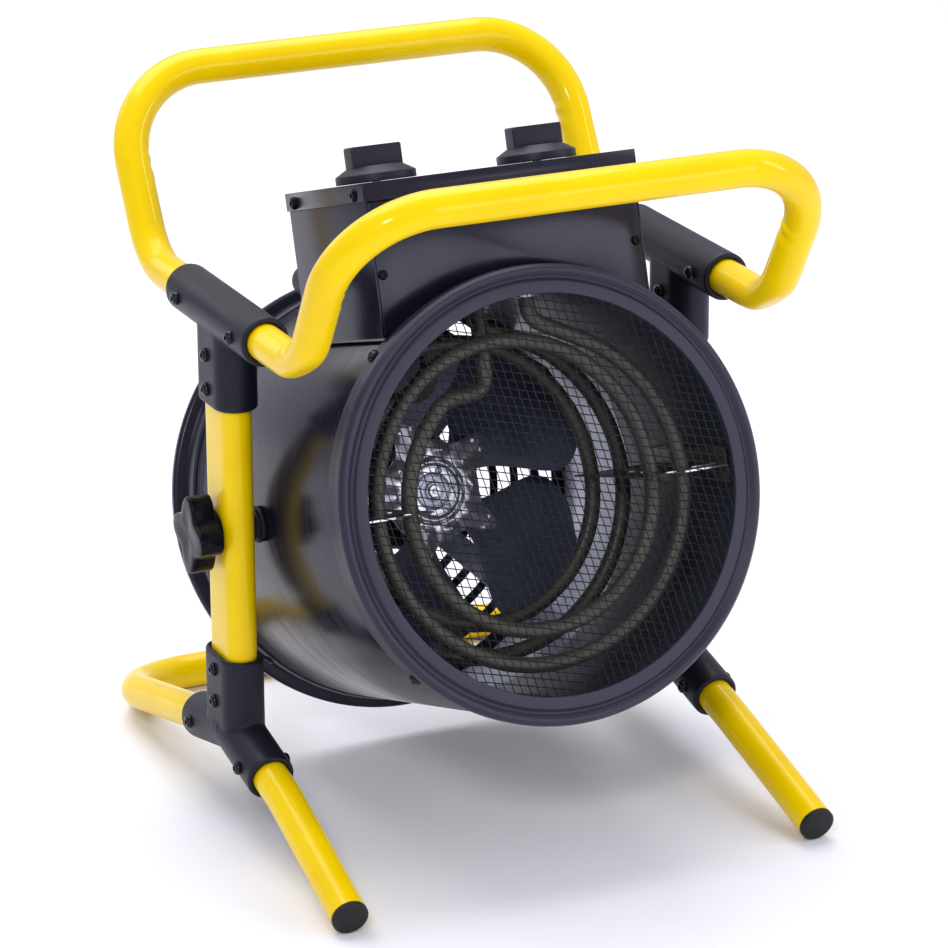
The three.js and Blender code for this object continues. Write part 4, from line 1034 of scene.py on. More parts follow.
    def build(self) -> None:
        """Builds and dresses every piece of the stand."""
        for name, way in (("front_handle", -1), ("rear_handle", 1)):
            self.piece(f"{name}_tube", self.handle(way), YELLOW, name, TUBE_CREASE)
        self.piece("rear_foot_tube", self.rear_foot(), YELLOW, "rear_foot", TUBE_CREASE, floor=True)
        for label, side in SIDES:
            foot, end, along = self.front_foot(side)
            self.piece(f"front_{label}_foot_tube", foot, YELLOW, f"front_{label}_foot", TUBE_CREASE, floor=True)
            self.piece(f"{label}_foot_plug", self.foot_plug(end, along), SOFT_RUBBER, f"{label}_foot_cap",
                       RING_CREASE, floor=True)
            self.piece(f"{label}_upright_tube", self.upright(side), YELLOW, f"{label}_upright", TUBE_CREASE)
            self.make_tee(f"{label}_top_tee", side, True)
            self.make_tee(f"{label}_foot_tee", side, False)
            for level in ("top", "foot"):
                for part, y, z, half in self.bolt_places(level == "top"):
                    screw = pan_screw(self.bolt_height, self.bolt_radius, self.bolt_shank, half + CLEAR / 2)
                    self.piece(f"{label}_{level}_{part}_screw",
                               screw.turned("Z", QUARTER).moved(side * self.half_width, y, z), SCREW_BLACK,
                               f"{label}_{level}_{part}_bolt", SMALL_CREASE)
            self.piece(f"{label}_pivot_bush", self.spacer(side), TEE_BLACK, f"{label}_pivot_spacer", BUSH_CREASE)


# Drum


@dataclass
class HeaterDrum(Assembly):
    """Round sheet drum with its front ring, rear rim, grilles and liner; sizes in millimetres."""

    radius: float = 148.6
    sheet: float = 1.2
    front: float = 151.0
    rear: float = 146.3
    ring_front: float = 159.5
    ring_skirt: float = 27.0
    ring_bead: float = 152.4
    ring_valley: float = 143.3
    ring_opening: float = 132.7
    rim_bead: float = 157.0
    rim_opening: float = 140.0
    liner_radius: float = 141.6
    liner_rear: float = 22.0
    guard_bore: float = 4.0
    guard_radius: float = 148.2
    slot_width: float = 10.5
    slot_pitch: float = 16.5
    first_slot: float = 28.0
    slot_rows: int = 7
    slot_steps: int = 128
    spoke: float = 8.0
    mesh_reach: float = 137.0
    mesh_pitch: float = 5.5
    mesh_angles: tuple = (math.radians(-14.0), math.radians(-77.7))
    mesh_wave: float = 0.36
    wire_radius: float = 0.38
    clamp: tuple = (134.5, 141.9, 2.2)
    screw_turns: tuple = (45.0, 135.0, 225.0, 315.0)
    screw_seat: float = 1.6

    def pipe(self, outer: float, front: float, rear: float) -> Surface:
        """Open pipe of sheet with softened ends, between two forward places."""
        bore = outer - self.sheet
        return lathe(rounded_loop([(outer, front), (outer, rear), (bore, rear), (bore, front)], 0.4), 160)

    def front_ring(self) -> Surface:
        """Rolled ring: skirt, shoulder groove, outer bead, front groove, flat face and inner lip.

        Returns:
            The surface, its outside followed by its inside back to the start.
        """
        skirt = self.radius + CLEAR + self.sheet
        front, rear = self.ring_front, self.ring_front - self.ring_skirt
        bead, opening, valley = self.ring_bead, self.ring_opening, self.ring_valley
        outside = rounded(
            [(skirt, rear), (skirt, front - 13.9), (skirt - 0.9, front - 12.7), (bead, front - 10.9),
             (bead, front - 2.9), (bead - 2.8, front), (bead - 5.2, front - 0.2), (valley, front - 3.6),
             (valley - 2.5, front - 0.6), (opening, front - 0.6), (opening, front - 4.5)],
            [0.7, 0.4, 1.2, 3.0, 1.6, 1.6, 1.8, 1.0, 0.8], 12.0)
        inside = rounded(
            [(opening + self.sheet, front - 4.5), (opening + self.sheet, front - 1.8), (valley - 2.8, front - 1.8),
             (valley, front - 5.1), (bead - 5.0, front - 1.5), (bead - self.sheet, front - 3.6),
             (bead - self.sheet, front - 9.9), (skirt - self.sheet, front - 11.9), (skirt - self.sheet, rear)],
            [0.5, 0.5, 0.8, 0.8, 1.0, 0.6, 0.6], 25.0)
        return lathe(np.vstack([outside, inside]), 192)

    def rear_rim(self) -> Surface:
        """Rear rim: tapered skirt, a deep groove, the outer bead and an inward flange.

        Returns:
            The surface of the rim.
        """
        skirt = self.radius + CLEAR + self.sheet
        rear = self.rear + 2 * self.sheet + 2 * CLEAR
        snug = self.radius + 0.1
        profile = rounded_loop(
            [(snug + 0.4, -(rear - 27.0)), (skirt, -(rear - 25.0)), (skirt, -(rear - 8.9)),
             (snug + 0.3, -(rear - 7.8)), (snug + 0.3, -(rear - 5.6)), (self.rim_bead - 2.2, -(rear - 5.1)),
             (self.rim_bead, -(rear - 3.6)), (self.rim_bead, -rear), (self.rim_opening, -rear),
             (self.rim_opening, -(rear - self.sheet)), (snug, -(rear - self.sheet)), (snug, -(rear - 27.0))], 0.3)
        return lathe(profile, 192)

    def rear_guard(self) -> Surface:
        """Pressed disc with rows of slots, as cells of a polar grid.

        A cell between two radii and two angles is metal unless its radius lies in a slot row
        and its angle lies between two spokes. Every metal cell gives a face in front and one
        behind, and each of its borders with an empty cell gives a wall.

        Returns:
            The surface of the disc.
        """
        starts = self.first_slot + self.slot_pitch * np.arange(self.slot_rows)
        radii = np.sort(np.concatenate([[self.guard_bore], starts, starts + self.slot_width, [self.guard_radius]]))
        step = TURN / self.slot_steps
        angle = np.arange(self.slot_steps) * TURN / self.slot_steps
        middle = ((radii[:-1] + radii[1:]) / 2)[:, None]
        in_row = np.any((middle > starts) & (middle < starts + self.slot_width), axis=1)
        from_spoke = np.abs(np.mod(angle + step / 2, TURN / 4) - TURN / 8) * middle
        metal = ~(in_row[:, None] & (from_spoke > self.spoke / 2 + 0.5))
        spread = radii[:, None]
        flat = np.stack([spread * np.sin(angle), 0 * spread * angle, spread * np.cos(angle)], axis=2)
        faces = [flat + [0.0, self.rear + CLEAR + depth, 0.0] for depth in (0.0, self.sheet)]
        return Surface(np.stack(faces).reshape(-1, 3), cell_faces(metal))

    @property
    def grille_plane(self) -> float:
        """Forward place of the mesh's middle."""
        return self.ring_front - self.sheet - CLEAR - 1.6

    def grille_wires(self) -> Surface:
        """Woven mesh of two families of wires inside the ring.

        A wire waves as the cosine of pi times its length over the distance between crossings,
        half a wave on from its neighbour's and from the other family's, so that each wire goes
        over one wire and under the next, and it ends where it meets the clamped rim.

        Returns:
            The surfaces of all wires.
        """
        step = self.mesh_pitch / abs(math.sin(self.mesh_angles[0] - self.mesh_angles[1]))
        rows = int(self.mesh_reach // self.mesh_pitch)
        wires = []
        for family, angle in enumerate(self.mesh_angles):
            direction = np.array([math.cos(angle), 0.0, math.sin(angle)])
            normal = np.array([-math.sin(angle), 0.0, math.cos(angle)])
            for row in range(-rows, rows + 1):
                half = math.sqrt(self.mesh_reach ** 2 - (row * self.mesh_pitch) ** 2)
                travel = np.linspace(-half, half, max(2, int(2 * half / step * 2)))
                wave = self.mesh_wave * np.cos(math.pi * travel / step + math.pi * (row + family))
                path = (direction * travel[:, None] + normal * row * self.mesh_pitch
                        + np.array(ALONG_Y) * (wave[:, None] - self.grille_plane))
                wires.append(grid(wall(path, circle(self.wire_radius, 4), tuple(normal))))
        return together(*wires)

    def grille_rim(self) -> Surface:
        """Flat ring that clamps the mesh behind the front ring's face.

        Returns:
            The surface of the ring.
        """
        inner, outer, depth = self.clamp
        front = self.grille_plane + depth / 2
        return lathe(rounded_loop([(inner, front), (outer, front), (outer, front - depth), (inner, front - depth)],
                                  0.3), 128)

    def rear_lining(self) -> Surface:
        """Bright sleeve on the inside of the drum behind the liner.

        Returns:
            The surface of the sleeve.
        """
        outer, rear = self.radius - self.sheet - 0.05, -self.rear + 1.0
        return lathe([(outer, -self.liner_rear), (outer, rear), (outer - 0.5, rear), (outer - 0.5, -self.liner_rear)],
                     160)

    def build(self) -> None:
        """Builds and dresses every sheet piece of the drum."""
        liner_front = self.ring_front - self.sheet - 2 * CLEAR - 2.7
        self.piece("drum_skin", self.pipe(self.radius, self.front, -self.rear), DRUM_BRUSHED, "drum_shell")
        self.piece("drum_lining", self.rear_lining(), LINING_STEEL)
        self.piece("front_rolled_ring", self.front_ring(), RING_GREY, "front_ring", RING_CREASE)
        self.piece("rear_rolled_rim", self.rear_rim(), DRUM_BLACK, "rear_rim", RING_CREASE)
        self.piece("rear_slotted_guard", self.rear_guard(), DRUM_BLACK, "rear_guard")
        self.piece("front_wire_mesh", self.grille_wires(), MESH_WIRE, "front_grille", WIRE_CREASE)
        self.piece("front_mesh_clamp", self.grille_rim(), RING_GREY)
        self.piece("front_heat_liner", self.pipe(self.liner_radius, liner_front, -self.liner_rear), LINER_STEEL,
                   "heat_liner")
        shank = rod(np.array([[0.0, 1.0, 0.0], [0.0, 5.0, 0.0], [0.0, 11.0, 0.0]]), 1.9, ALONG_X)
        for name, screw, y in (("ring", together(pan_screw(3.2, 4.6, 1.9), shank), -137.0),
                               ("rim", pan_screw(2.2, 3.6, 1.7), 131.0)):
            screw = screw.turned("X", -QUARTER).moved(z=self.radius + self.screw_seat)
            for number, turn in enumerate(self.screw_turns):
                self.piece(f"{name}_screw_{number}", screw.turned("Y", math.radians(turn)).moved(y=y), SCREW_BLACK,
                           crease=SMALL_CREASE)


def cell_faces(metal: np.ndarray) -> np.ndarray:
    """Faces of a plate whose cells lie on a closed polar grid.

    Args:
        metal: Which cells are metal, one row for each step outwards.

    Returns:
        Quads over two layers of points, the front layer first.
    """
    rows, steps = metal.shape
    layer = (rows + 1) * steps
    r, a = np.nonzero(metal)
    b = (a + 1) % steps
    corners = np.stack([r * steps + a, (r + 1) * steps + a, (r + 1) * steps + b, r * steps + b], axis=1)
    faces = [corners, corners[:, ::-1] + layer]
    padded = np.pad(metal, ((1, 1), (0, 0)))
    around = (padded[:-2], np.roll(metal, -1, axis=1), padded[2:], np.roll(metal, 1, axis=1))
    for beside, (first, second) in zip(around, ((3, 0), (2, 3), (1, 2), (0, 1))):
        edge = corners[~beside[r, a]][:, [first, second]]
        faces.append(np.stack([edge[:, 1], edge[:, 0], edge[:, 0] + layer, edge[:, 1] + layer], axis=1))
    return np.vstack(faces)


@dataclass
class HeatingCoils(Assembly):
    """Two flat spiral elements and their brackets; sizes in millimetres."""

    tube_radius: float = 5.4
    outer_turn: float = 111.5
    inner_turn: float = 88.5
    change_start: float = math.radians(312.0)
    change_length: float = math.radians(138.0)
    centre_x: float = -2.5
    centre_up: float = -1.5
    planes: tuple = (127.0, 33.0)
    inlet_x: float = 11.5
    outlet_x: float = -18.5
    setback: float = 15.4
    top: float = 162.0
    bend: float = 14.0
    shelf: float = 72.5
    lead: float = 17.0
    start: float = math.radians(26.0)
    end: float = math.radians(672.0)
    shelf_front: float = 139.0
    shelf_rear: float = 21.0
    shelf_inner: float = 78.0
    shelf_outer: float = 139.2
    # Boxes of bright steel along the shelf's edges: painted glints.
    painted_glint_boxes: tuple = ((106.0, 138.0, 0.0, 1.2, -0.6, 0.6), (118.0, 136.0, 14.0, 15.0, 0.5, 1.6),
                         (92.0, 100.0, 1.5, 2.6, 0.4, 1.4), (92.0, 99.0, 40.0, 41.0, 0.5, 1.5),
                         (93.0, 98.5, 60.0, 61.0, 0.5, 1.5))

    def spiral(self, angle: np.ndarray, plane: float) -> np.ndarray:
        """Points of the spiral at angles clockwise from the top, seen from the front.

        The radius goes over from the outer turn to the inner one as the smooth step
        s^2 (3 - 2 s), with s going from 0 to 1 over the change's length.

        Args:
            angle: The angles.
            plane: Forward place of the spiral.

        Returns:
            The points.
        """
        share = np.clip((angle - self.change_start) / self.change_length, 0.0, 1.0)
        radius = self.outer_turn + (self.inner_turn - self.outer_turn) * share ** 2 * (3 - 2 * share)
        return np.stack([self.centre_x + radius * np.sin(angle), np.full_like(angle, -plane),
                         self.centre_up + radius * np.cos(angle)], axis=1)

    def path(self, plane: float) -> np.ndarray:
        """Whole route of one element: down, round twice, inward and up again.

        Args:
            plane: Forward place of the spiral.

        Returns:
            The points of the route.
        """
        first, last = self.spiral(np.array([self.start, self.end]), plane)
        rise = (first[0] - self.inlet_x) * math.tan(self.start)
        inlet = rounded([(self.inlet_x, -plane, self.top), (self.inlet_x, -plane, first[2] + rise), first],
                        [self.bend], 6.0)
        ahead = (last[0] + self.lead * math.cos(self.end), -plane, last[2] - self.lead * math.sin(self.end))
        back = self.setback - plane
        outlet = rounded([last, ahead, (self.outlet_x, back, self.shelf), (self.outlet_x, back, self.top)],
                         [self.bend, self.bend - CLEAR], 6.0)
        return np.vstack([inlet, self.spiral(np.linspace(self.start, self.end, 190)[1:-1], plane), outlet])

    def bracket(self) -> Surface:
        """Right level shelf with a tab on the liner.

        Returns:
            The surface of the bracket.
        """
        front, rear, outer = 0.5 - self.shelf_front, -self.shelf_rear, self.shelf_outer
        return together(rounded_block((self.shelf_inner, front, -0.5), (outer, rear, 0.5), 0.3),
                        rounded_block((outer - 1.6, front, -12.0), (outer - 0.6, rear, 12.0), 0.3))

    def painted_glint_strips(self) -> Surface:
        """Thin strips of bright steel along the right shelf's edges: painted glints of light.

        Returns:
            The surfaces of the edges.
        """
        return together(*(rounded_block((near, back - self.shelf_front, low), (far, deep - self.shelf_front, high), 0.2)
                          for near, far, back, deep, low, high in self.painted_glint_boxes))

    def terminal(self) -> Surface:
        """Upright collar and nut where an element's end passes the liner.

        Returns:
            Their surfaces.
        """
        collar = lathe(rounded_loop([(5.5, 130.5), (8.2, 130.5), (8.2, 136.5), (5.5, 136.5)], 0.5), 6)
        washer = lathe(rounded_loop([(5.5, 136.6), (10.5, 136.6), (10.5, 138.2), (5.5, 138.2)], 0.3), 32)
        return together(collar, washer).turned("X", -QUARTER)

    def build(self) -> None:
        """Builds and dresses the elements, their brackets and their terminals."""
        for name, plane in zip(("front", "rear"), self.planes):
            self.piece(f"{name}_spiral_element", rod(self.path(plane), self.tube_radius, ALONG_Y, 16), SHEATH,
                       f"{name}_element", TUBE_CREASE)
        for label, side in SIDES:
            self.piece(f"{label}_element_shelf", self.bracket().on_side(side), SHEATH, f"{label}_element_bracket",
                       SMALL_CREASE, slot="pale_sheet")
            # Bright strips on the shelf's edges: painted glints.
            self.piece(f"{label}_shelf_painted_glints", self.painted_glint_strips().on_side(side), BRIGHT_STEEL,
                       crease=SMALL_CREASE, slot="pale_sheet")
        for number, plane in enumerate(self.planes):
            for part, x, y in (("in", self.inlet_x, -plane), ("out", self.outlet_x, self.setback - plane)):
                self.piece(f"terminal_{part}_{number}", self.terminal().moved(x, y), BRIGHT_STEEL,
                           crease=SMALL_CREASE)


@dataclass
class AxialFan(Assembly):
    """Five-bladed fan, its hub, shaft and motor; sizes in millimetres."""

    body: str = "fan"
    plane: float = 51.5
    tip: float = 126.0
    root: float = 26.0
    blades: int = 5
    first_blade: float = math.radians(54.0)
    pitch: float = math.radians(27.0)
    camber: float = 4.0
    sheet: float = 1.2
    blade_shares: tuple = (0.0, 0.16, 0.36, 0.57, 0.72, 0.84, 0.92, 0.97, 1.0)
    blade_widths: tuple = (17.0, 20.0, 29.0, 35.0, 34.5, 29.0, 21.0, 12.5, 0.3)
    hub: float = 36.0
    hub_core: float = 26.0
    hub_split: float = 0.72
    arm_reach: float = 21.0
    ridge_places: tuple = (0.0, 3.2, 4.4, 6.6, 8.4, 10.6, 12.6, 17.2, 18.0, 19.4, 21.6, 23.6, 60.0)
    ridge_heights: tuple = (-0.4, -0.4, 1.8, 1.8, -2.6, -2.6, 0.6, 0.6, 0.0, 2.4, 2.4, -0.8, -0.8)
    hole_ring: float = 15.0
    rib_height: float = 3.0
    rivet_ring: float = 47.0
    rivet_swing: float = 0.09
    motor_radii: tuple = (42.0, 40.2, 36.0, 4.7)
    motor_ribs: tuple = (88.0, 118.0, 6)

    def blade(self, index: int) -> Surface:
        """One petal-shaped blade, twisted and slightly cambered.

        The half width in degrees follows the radius through a smooth table, the blade rises
        by radius times swing times the tangent of the pitch, less towards the tip, and the
        camber lifts its middle by 1 - v^2.

        Args:
            index: Number of the blade.

        Returns:
            The closed surface.
        """
        u = np.linspace(0.0, 1.0, 30)[:, None]
        radius = self.root + (self.tip - self.root) * u
        half = np.radians(np.interp(u[:, 0], self.blade_shares, self.blade_widths))
        half = np.convolve(np.pad(half, 2, mode="edge"), np.ones(5) / 5, mode="valid")
        half[-1] = 0.003
        v = np.concatenate([np.linspace(-1.0, 1.0, 20), np.linspace(1.0, -1.0, 20)])
        layer = np.repeat([1.0, -1.0], 20)
        edge = np.sqrt(np.clip(1.0 - v ** 8, 0.0, 1.0))
        swing = half[:, None] * v
        angle = self.first_blade + index * TURN / self.blades + swing
        rise = radius * swing * math.tan(self.pitch) * (1.0 - 0.4 * u)
        camber = self.camber * (1.0 - v ** 2) * np.sin(math.pi * u)
        forward = -self.plane + rise + camber - 2.0 + layer * edge * self.sheet / 2
        points = np.stack([radius * np.sin(angle), -forward, radius * np.cos(angle)], axis=2)
        ends = [np.repeat(row.mean(axis=0)[None, None], 40, axis=1) for row in (points[0], points[-1])]
        return grid(np.concatenate([ends[0], points, ends[1]]))

    def spider(self) -> Surface:
        """Pressed hub with concentric ridges, small holes and five arms out to the blades.

        The height follows the radius through a table of ridges, less a dimple at each hole. Outside
        the ridges it swells as 0.5 + 0.5 cos(10 t) between the arms and on them, and the rim reaches
        out to each blade as the third power of 0.5 + 0.5 cos(5 t).

        Returns:
            The closed surface.
        """
        angle = np.arange(240) * TURN / 240
        share = np.linspace(0.0, 1.0, 100)[:, None]
        core, split = self.hub_core, self.hub_split
        arm = (0.5 + 0.5 * np.cos(self.blades * (angle - self.first_blade))) ** 3
        reach = self.hub + self.arm_reach * arm
        radius = np.where(share < split, core * share / split, core + (reach - core) * (share - split) / (1 - split))
        relief = sum(np.interp(radius + shift, self.ridge_places, self.ridge_heights)
                     for shift in np.linspace(-0.9, 0.9, 7)) / 7
        across, along = radius * np.sin(angle), radius * np.cos(angle)
        for number in range(6):
            turn = number * TURN / 6 + 0.4
            away = np.hypot(across - self.hole_ring * math.sin(turn), along - self.hole_ring * math.cos(turn))
            relief = relief - 2.4 * np.exp(-(away / 1.8) ** 4)
        ribs = 0.5 + 0.5 * np.cos(2 * self.blades * (angle - self.first_blade))
        swell = np.clip((radius - 24.0) / 6.0, 0.0, 1.0)
        edge = np.clip((radius - reach + 7.0) / 7.0, 0.0, 1.0)
        relief = relief + self.rib_height * ribs * swell ** 2 * (3.0 - 2.0 * swell) * (1.0 - edge ** 2)
        fall = 4.4 * np.clip((radius - 28.0) / 28.0, 0.0, 1.0)
        top = np.stack([across, -(-self.plane + 5.6 + relief - fall), along], axis=2)
        return grid(np.concatenate([top, top[::-9] + np.array([0.0, self.sheet, 0.0])]))

    def hub_bolt(self) -> Surface:
        """Shaft end and nut in the middle of the hub.

        Returns:
            Their surfaces.
        """
        base = -self.plane + 5.0
        return together(*(lathe(rounded([(0.0, base + height), (radius, base + height), (radius, base), (0.0, base)],
                                        [0.5, 0.2]), sides, closed=False)
                          for radius, height, sides in ((1.9, 5.2, 24), (3.6, 3.4, 6))))

    def rivets(self) -> Surface:
        """Two rivets on each arm of the hub.

        Returns:
            Their surfaces.
        """
        head = lathe(rounded([(0.0, 2.0), (2.6, 1.4), (3.0, 0.0), (0.0, 0.0)], [1.6, 0.2]), 16, closed=False)
        turns = [self.first_blade + index * TURN / self.blades + swing
                 for index in range(self.blades) for swing in (-self.rivet_swing, self.rivet_swing)]
        return together(*(head.moved(self.rivet_ring * math.sin(turn), self.plane - 3.0,
                                     self.rivet_ring * math.cos(turn)) for turn in turns))

    def motor(self) -> Surface:
        """Motor can with a front boss, end bells and cooling ribs round its middle.

        Returns:
            The surface of the can.
        """
        crest, valley, bell, bore = self.motor_radii
        ribs = []
        for place in np.linspace(*self.motor_ribs):
            ribs += [(crest, -place), (crest, -place - 1.6), (valley, -place - 2.4), (valley, -place - 4.6)]
        profile = rounded([(bore, -73.0), (14.0, -73.0), (14.0, -78.0), (bell, -78.0), (crest, -84.0), *ribs,
                           (crest, -121.0), (bell, -128.0), (bore, -128.0)],
                          [0.6, 1.0, 2.0, 2.0] + [0.5] * len(ribs) + [2.0, 2.0], 30.0)
        return lathe(profile, 72)

    def build(self) -> None:
        """Builds and dresses the fan and the motor."""
        blades = together(*(self.blade(index) for index in range(self.blades)))
        self.piece("fan_blades", blades, BLADE_DARK, crease=RING_CREASE)
        hub = together(self.spider(), self.hub_bolt(), self.rivets())
        self.piece("fan_hub", hub, BRIGHT_STEEL, "fan_rotor", HUB_CREASE)
        self.piece("fan_motor_can", self.motor(), MOTOR_BLACK, "fan_motor", body="drum")
        recolour("motor_shaft", BRIGHT_STEEL)
        self.softened("motor_spider", "motor_bracket", PALE_STEEL, 0.4)


@dataclass
class ControlBox(Assembly):
    """Sheet box on the drum with its lid, panel, dials and gland; sizes in millimetres."""

    half_width: float = 97.7
    front: float = 136.8
    top: float = 217.2
    sheet: float = 1.2
    lid_screws: tuple = (14.7, 123.1)
    lid_screw_height: float = 211.5
    panel_screw_x: float = 92.3
    panel_screw_height: float = 158.0
    dial_plane: float = 67.5
    dial_spacing: float = 59.3
    dial_gap: float = 1.2
    grip_half: tuple = (18.25, 7.5)
    grip_top: float = 23.5
    pointer_height: float = 23.45
    mark_ring: float = 29.6
    mark_radius: float = 1.1
    gland_place: tuple = (-78.0, 0.0, 158.0)

    @property
    def lid_top(self) -> float:
        """Height of the lid's outer face."""
        return self.top + CLEAR + self.sheet

    def screws(self) -> None:
        """Pan screws in the lid's side flanges and in the front panel."""
        for label, side in SIDES:
            for number, forward in enumerate(self.lid_screws):
                screw = pan_screw(2.5, 4.4, 1.8).turned("Z", side * QUARTER)
                screw = screw.moved(side * (self.half_width + CLEAR + self.sheet), -forward, self.lid_screw_height)
                self.piece(f"lid_{label}_screw_{number}", screw, SCREW_OXIDE, crease=SMALL_CREASE)
            screw = pan_screw(1.8, 3.4, 1.5).moved(side * self.panel_screw_x, -self.front, self.panel_screw_height)
            self.piece(f"panel_{label}_screw", screw, SCREW_OXIDE, crease=SMALL_CREASE)

    def dial(self) -> Surface:
        """Dial knob about the Z axis: round skirt, sloping shoulder and a straight grip.

        Returns:
            Its surfaces.
        """
        base = self.lid_top + self.dial_gap
        profile = rounded([(0.0, 10.0), (18.0, 10.0), (27.2, 4.6), (27.2, -0.7), (24.8, -0.7), (24.0, 1.4),
                           (0.0, 1.4)], [0.8, 0.8, 0.5, 0.4, 0.4], 20.0)
        skirt = lathe(profile, 96, closed=False).turned("X", -QUARTER).moved(z=base)
        x, y = self.grip_half
        outline = rounded_loop([(-x, -y), (x, -y), (x, y), (-x, y)], 1.6, 15.0)
        return together(skirt, prism(outline, base + 6.0, base + self.grip_top, 0.9))

    def marks(self, side: int) -> Surface:
        """Round white marks on the lid about a dial.

        Args:
            side: -1 for the selector's and 1 for the thermostat's.

        Returns:
            The surfaces of the marks.
        """
        turns = np.radians(np.linspace(-150.0, 150.0, 11)) if side > 0 else np.radians([-60, -20, 20, 60, 120, -120])
        mark = prism(circle(self.mark_radius, 12), self.lid_top - 0.05, self.lid_top + 0.12)
        return together(*(mark.moved(side * self.dial_spacing + self.mark_ring * math.sin(turn),
                                     -self.dial_plane - self.mark_ring * math.cos(turn)) for turn in turns))

    def gland(self) -> Surface:
        """Cable gland: nut inside, flange, ribbed cap and a domed mouth round its bore.

        Returns:
            The surface of the gland.
        """
        inside, outside = 2.5, 0.7
        profile = rounded(
            [(6.5, inside + 8.0), (11.0, inside + 8.0), (11.0, inside), (9.5, inside), (9.5, outside),
             (13.0, outside), (13.0, outside - 8.0), (11.0, outside - 9.5), (11.0, -35.2), (7.7, -38.0),
             (6.5, -38.0)],
            [0.4, 0.4, 0.2, 0.2, 0.4, 1.0, 0.6, 2.6, 0.5], 20.0)
        return lathe(profile, 64).moved(*self.gland_place)

    def build(self) -> None:
        """Builds and dresses the box and everything on it."""
        for name, node, edge in (("box_tub", "control_box", 0.35), ("box_front_plate", "box_front_panel", 0.25),
                                 ("box_cover", "box_lid", 0.4)):
            self.softened(name, node, DRUM_BLACK, edge)
        for node, finish in (("selector_switch", CERAMIC), ("terminal_block", CERAMIC),
                             ("thermostat_body", PALE_STEEL), ("overheat_cutout", BRIGHT_STEEL)):
            recolour(node, finish)
        self.screws()
        height = self.lid_top + self.dial_gap + self.pointer_height
        pointer = rounded_block((-0.6, -6.6, height - 0.1), (0.6, -0.8, height + 0.12), 0.1)
        for label, side in (("selector", -1), ("thermostat", 1)):
            place = (side * self.dial_spacing, -self.dial_plane)
            self.piece(f"{label}_dial", self.dial().moved(*place), KNOB_BLACK, f"{label}_knob", KNOB_CREASE, label)
            self.piece(f"{label}_dial_marks", self.marks(side), DIAL_WHITE, crease=SMALL_CREASE)
            self.piece(f"{label}_pointer", pointer.moved(*place), DIAL_WHITE, crease=SMALL_CREASE, body=label)
        self.piece("rear_gland", self.gland(), SOFT_RUBBER, "cable_gland", BUSH_CREASE)


@dataclass
class StarClamp(Assembly):
    """Four-lobed star knob on each pivot bolt; sizes in millimetres."""

    lobe_radius: float = 27.4
    root_radius: float = 17.9
    lobes: int = 4
    phase: float = math.radians(71.0)
    depth: float = 21.0
    rim: float = 1.8
    boss_depth: float = 4.5
    boss_radius: float = 15.0
    seat: float = 180.5

    def knob(self) -> Surface:
        """Right star knob about the X axis.

        The outline at the angle t is root + (lobe - root) (1 + cos 4t) / 2, the outer face is slightly
        domed and both edges of the lobes are rounded as quarter circles.

        Returns:
            The closed surface.
        """
        angle = np.arange(200) * TURN / 200
        wave = (1.0 + np.cos(self.lobes * (angle - self.phase))) / 2.0
        outline = self.root_radius + (self.lobe_radius - self.root_radius) * wave
        quarter = np.linspace(0.0, QUARTER, 6)
        rows = [(outline * share, self.depth - below)
                for share, below in ((0.0, 1.2), (0.3, 0.9), (0.6, 0.3), (0.8, 0.1))]
        rows += [(outline - self.rim * (1 - math.sin(turn)), self.depth - 0.3 - self.rim * (1 - math.cos(turn)))
                 for turn in quarter]
        rows += [(outline - (1.0 - math.cos(turn)), self.boss_depth + 1.0 - math.sin(turn)) for turn in quarter[:4]]
        rows += [(outline * 0.86, self.boss_depth)]
        rows += [(radius + 0.0 * angle, place) for radius, place in (
            (self.boss_radius, self.boss_depth), (self.boss_radius, 0.4), (self.boss_radius - 0.4, 0.0),
            (4.6, 0.0), (4.6, 12.0), (0.0, 12.0))]
        return grid(np.stack([np.stack([np.full_like(angle, place), radius * np.sin(angle), radius * np.cos(angle)],
                                       axis=1) for radius, place in rows])).moved(self.seat)

    def build(self) -> None:
        """Builds and dresses both knobs and their bolts."""
        for label, side in SIDES:
            self.piece(f"{label}_star_clamp", self.knob().on_side(side), STAR_GLOSS, f"{label}_star_knob",
                       KNOB_CREASE, f"{label}_clamp")
            recolour(f"{label}_pivot_bolt", SCREW_BLACK)


# Studio


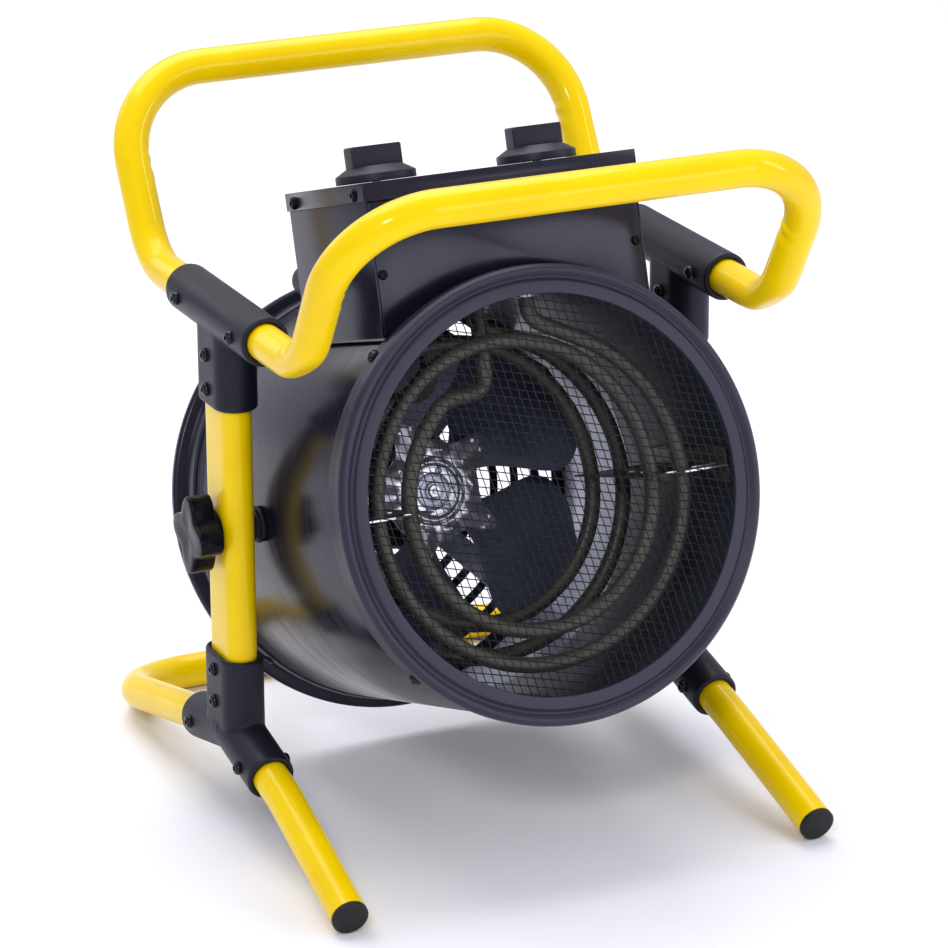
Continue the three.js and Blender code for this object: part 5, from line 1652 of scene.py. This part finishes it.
@dataclass
class Studio:
    """Pale floor, soft lights and the fitted camera; sizes in metres, lens and sensor in millimetres."""

    lens: float = 165.9
    sensor: float = 36.0
    clip: tuple = (0.05, 60.0)
    camera_place: tuple = (-1.17908, -2.58195, 1.22804)
    right: tuple = (0.90742761, -0.42018154, -0.00475577)
    up: tuple = (0.14391129, 0.30011901, 0.94298363)
    aim: tuple = (0.0, 0.0, 0.25)
    floor_half: float = 9.0
    floor_near: float = -6.0
    floor_far: float = 6.0
    floor_bend: float = 2.0
    floor_top: float = 7.0
    floor_drop: float = 2e-4
    world_colour: tuple = (0.96, 0.96, 1.04, 1.0)
    world_strength: float = 0.6
    lights: tuple = (
        ("key softbox", (-1.5, -2.2, 2.0), (0.5, 0.5), 26.0),
        ("side strip", (2.2, -1.4, 1.3), (0.3, 1.6), 14.0),
        ("front fill", (1.3, -2.9, 0.9), (1.3, 1.3), 16.0),
        ("rear panel", (-1.1, 3.0, 1.5), (1.6, 1.2), 8.0),
        ("top softbox", (0.0, 1.2, 3.2), (3.0, 3.0), 100.0),
    )

    def build(self) -> None:
        """Builds the camera, the floor, the world and the lights."""
        self.camera()
        self.floor()
        self.world()
        for light in self.lights:
            self.light(*light)

    def camera(self) -> None:
        """Camera with the fitted place, turn and focal length."""
        data = bpy.data.cameras.new("photograph view")
        data.lens = self.lens
        data.sensor_width = self.sensor
        data.clip_start, data.clip_end = self.clip
        camera = bpy.data.objects.new("photograph view", data)
        right, up = Vector(self.right), Vector(self.up)
        turn = Matrix((right, up, right.cross(up))).transposed().to_4x4()
        place = Vector(self.camera_place) + Vector((0.0, PIVOT[1] * MM, 0.0))
        camera.matrix_world = Matrix.Translation(place) @ turn
        bpy.context.scene.collection.objects.link(camera)
        bpy.context.scene.camera = camera

    def floor(self) -> None:
        """Large pale floor that curves up far behind the heater as a quarter of a circle."""
        angle = np.linspace(0.0, QUARTER, 16)
        bend = self.floor_bend
        curve = np.stack([self.floor_far - bend + bend * np.sin(angle), bend * (1 - np.cos(angle))], axis=1)
        profile = np.vstack([[[self.floor_near, 0.0]], curve, [[self.floor_far, self.floor_top]]])
        points = np.stack([np.insert(profile, 0, x, axis=1) for x in (-self.floor_half, self.floor_half)], axis=1)
        index = 2 * np.arange(len(profile) - 1)
        quads = np.stack([index, index + 1, index + 3, index + 2], axis=1)
        mesh = bpy.data.meshes.new("studio_floor")
        mesh.from_pydata((points.reshape(-1, 3) - np.array([0, 0, self.floor_drop])).tolist(), [], quads.tolist())
        mesh.polygons.foreach_set("use_smooth", np.ones(len(quads), dtype=bool))
        mesh.materials.append(FLOOR_PALE.material())
        floor = bpy.data.objects.new("studio_floor", mesh)
        bpy.context.scene.collection.objects.link(floor)

    def world(self) -> None:
        """Even pale world light."""
        world = bpy.data.worlds.new("studio")
        world.use_nodes = True
        background = world.node_tree.nodes["Background"]
        background.inputs["Color"].default_value = self.world_colour
        background.inputs["Strength"].default_value = self.world_strength
        bpy.context.scene.world = world
        bpy.context.scene.view_settings.view_transform = "Standard"

    def light(self, name: str, place: tuple, size: tuple, power: float) -> None:
        """Area light that faces the middle of the heater.

        Args:
            name: Name of the light.
            place: Where it stands.
            size: Its width and height.
            power: Its power in watts.
        """
        data = bpy.data.lights.new(name, "AREA")
        data.shape = "RECTANGLE"
        data.size, data.size_y = size
        data.energy = power
        lamp = bpy.data.objects.new(name, data)
        lamp.location = place
        lamp.rotation_mode = "QUATERNION"
        lamp.rotation_quaternion = (Vector(self.aim) - Vector(place)).to_track_quat("-Z", "Y")
        bpy.context.scene.collection.objects.link(lamp)


def main() -> None:
    """Builds the studio and every sub-assembly in order."""
    logging.basicConfig(level=logging.INFO, format="%(name)s %(message)s")
    for part in (Studio(), TubularStand(), HeaterDrum(), HeatingCoils(), AxialFan(), ControlBox(), StarClamp()):
        part.build()
        LOG.info("built %s", type(part).__name__)


if __name__ == "__main__":
    main()
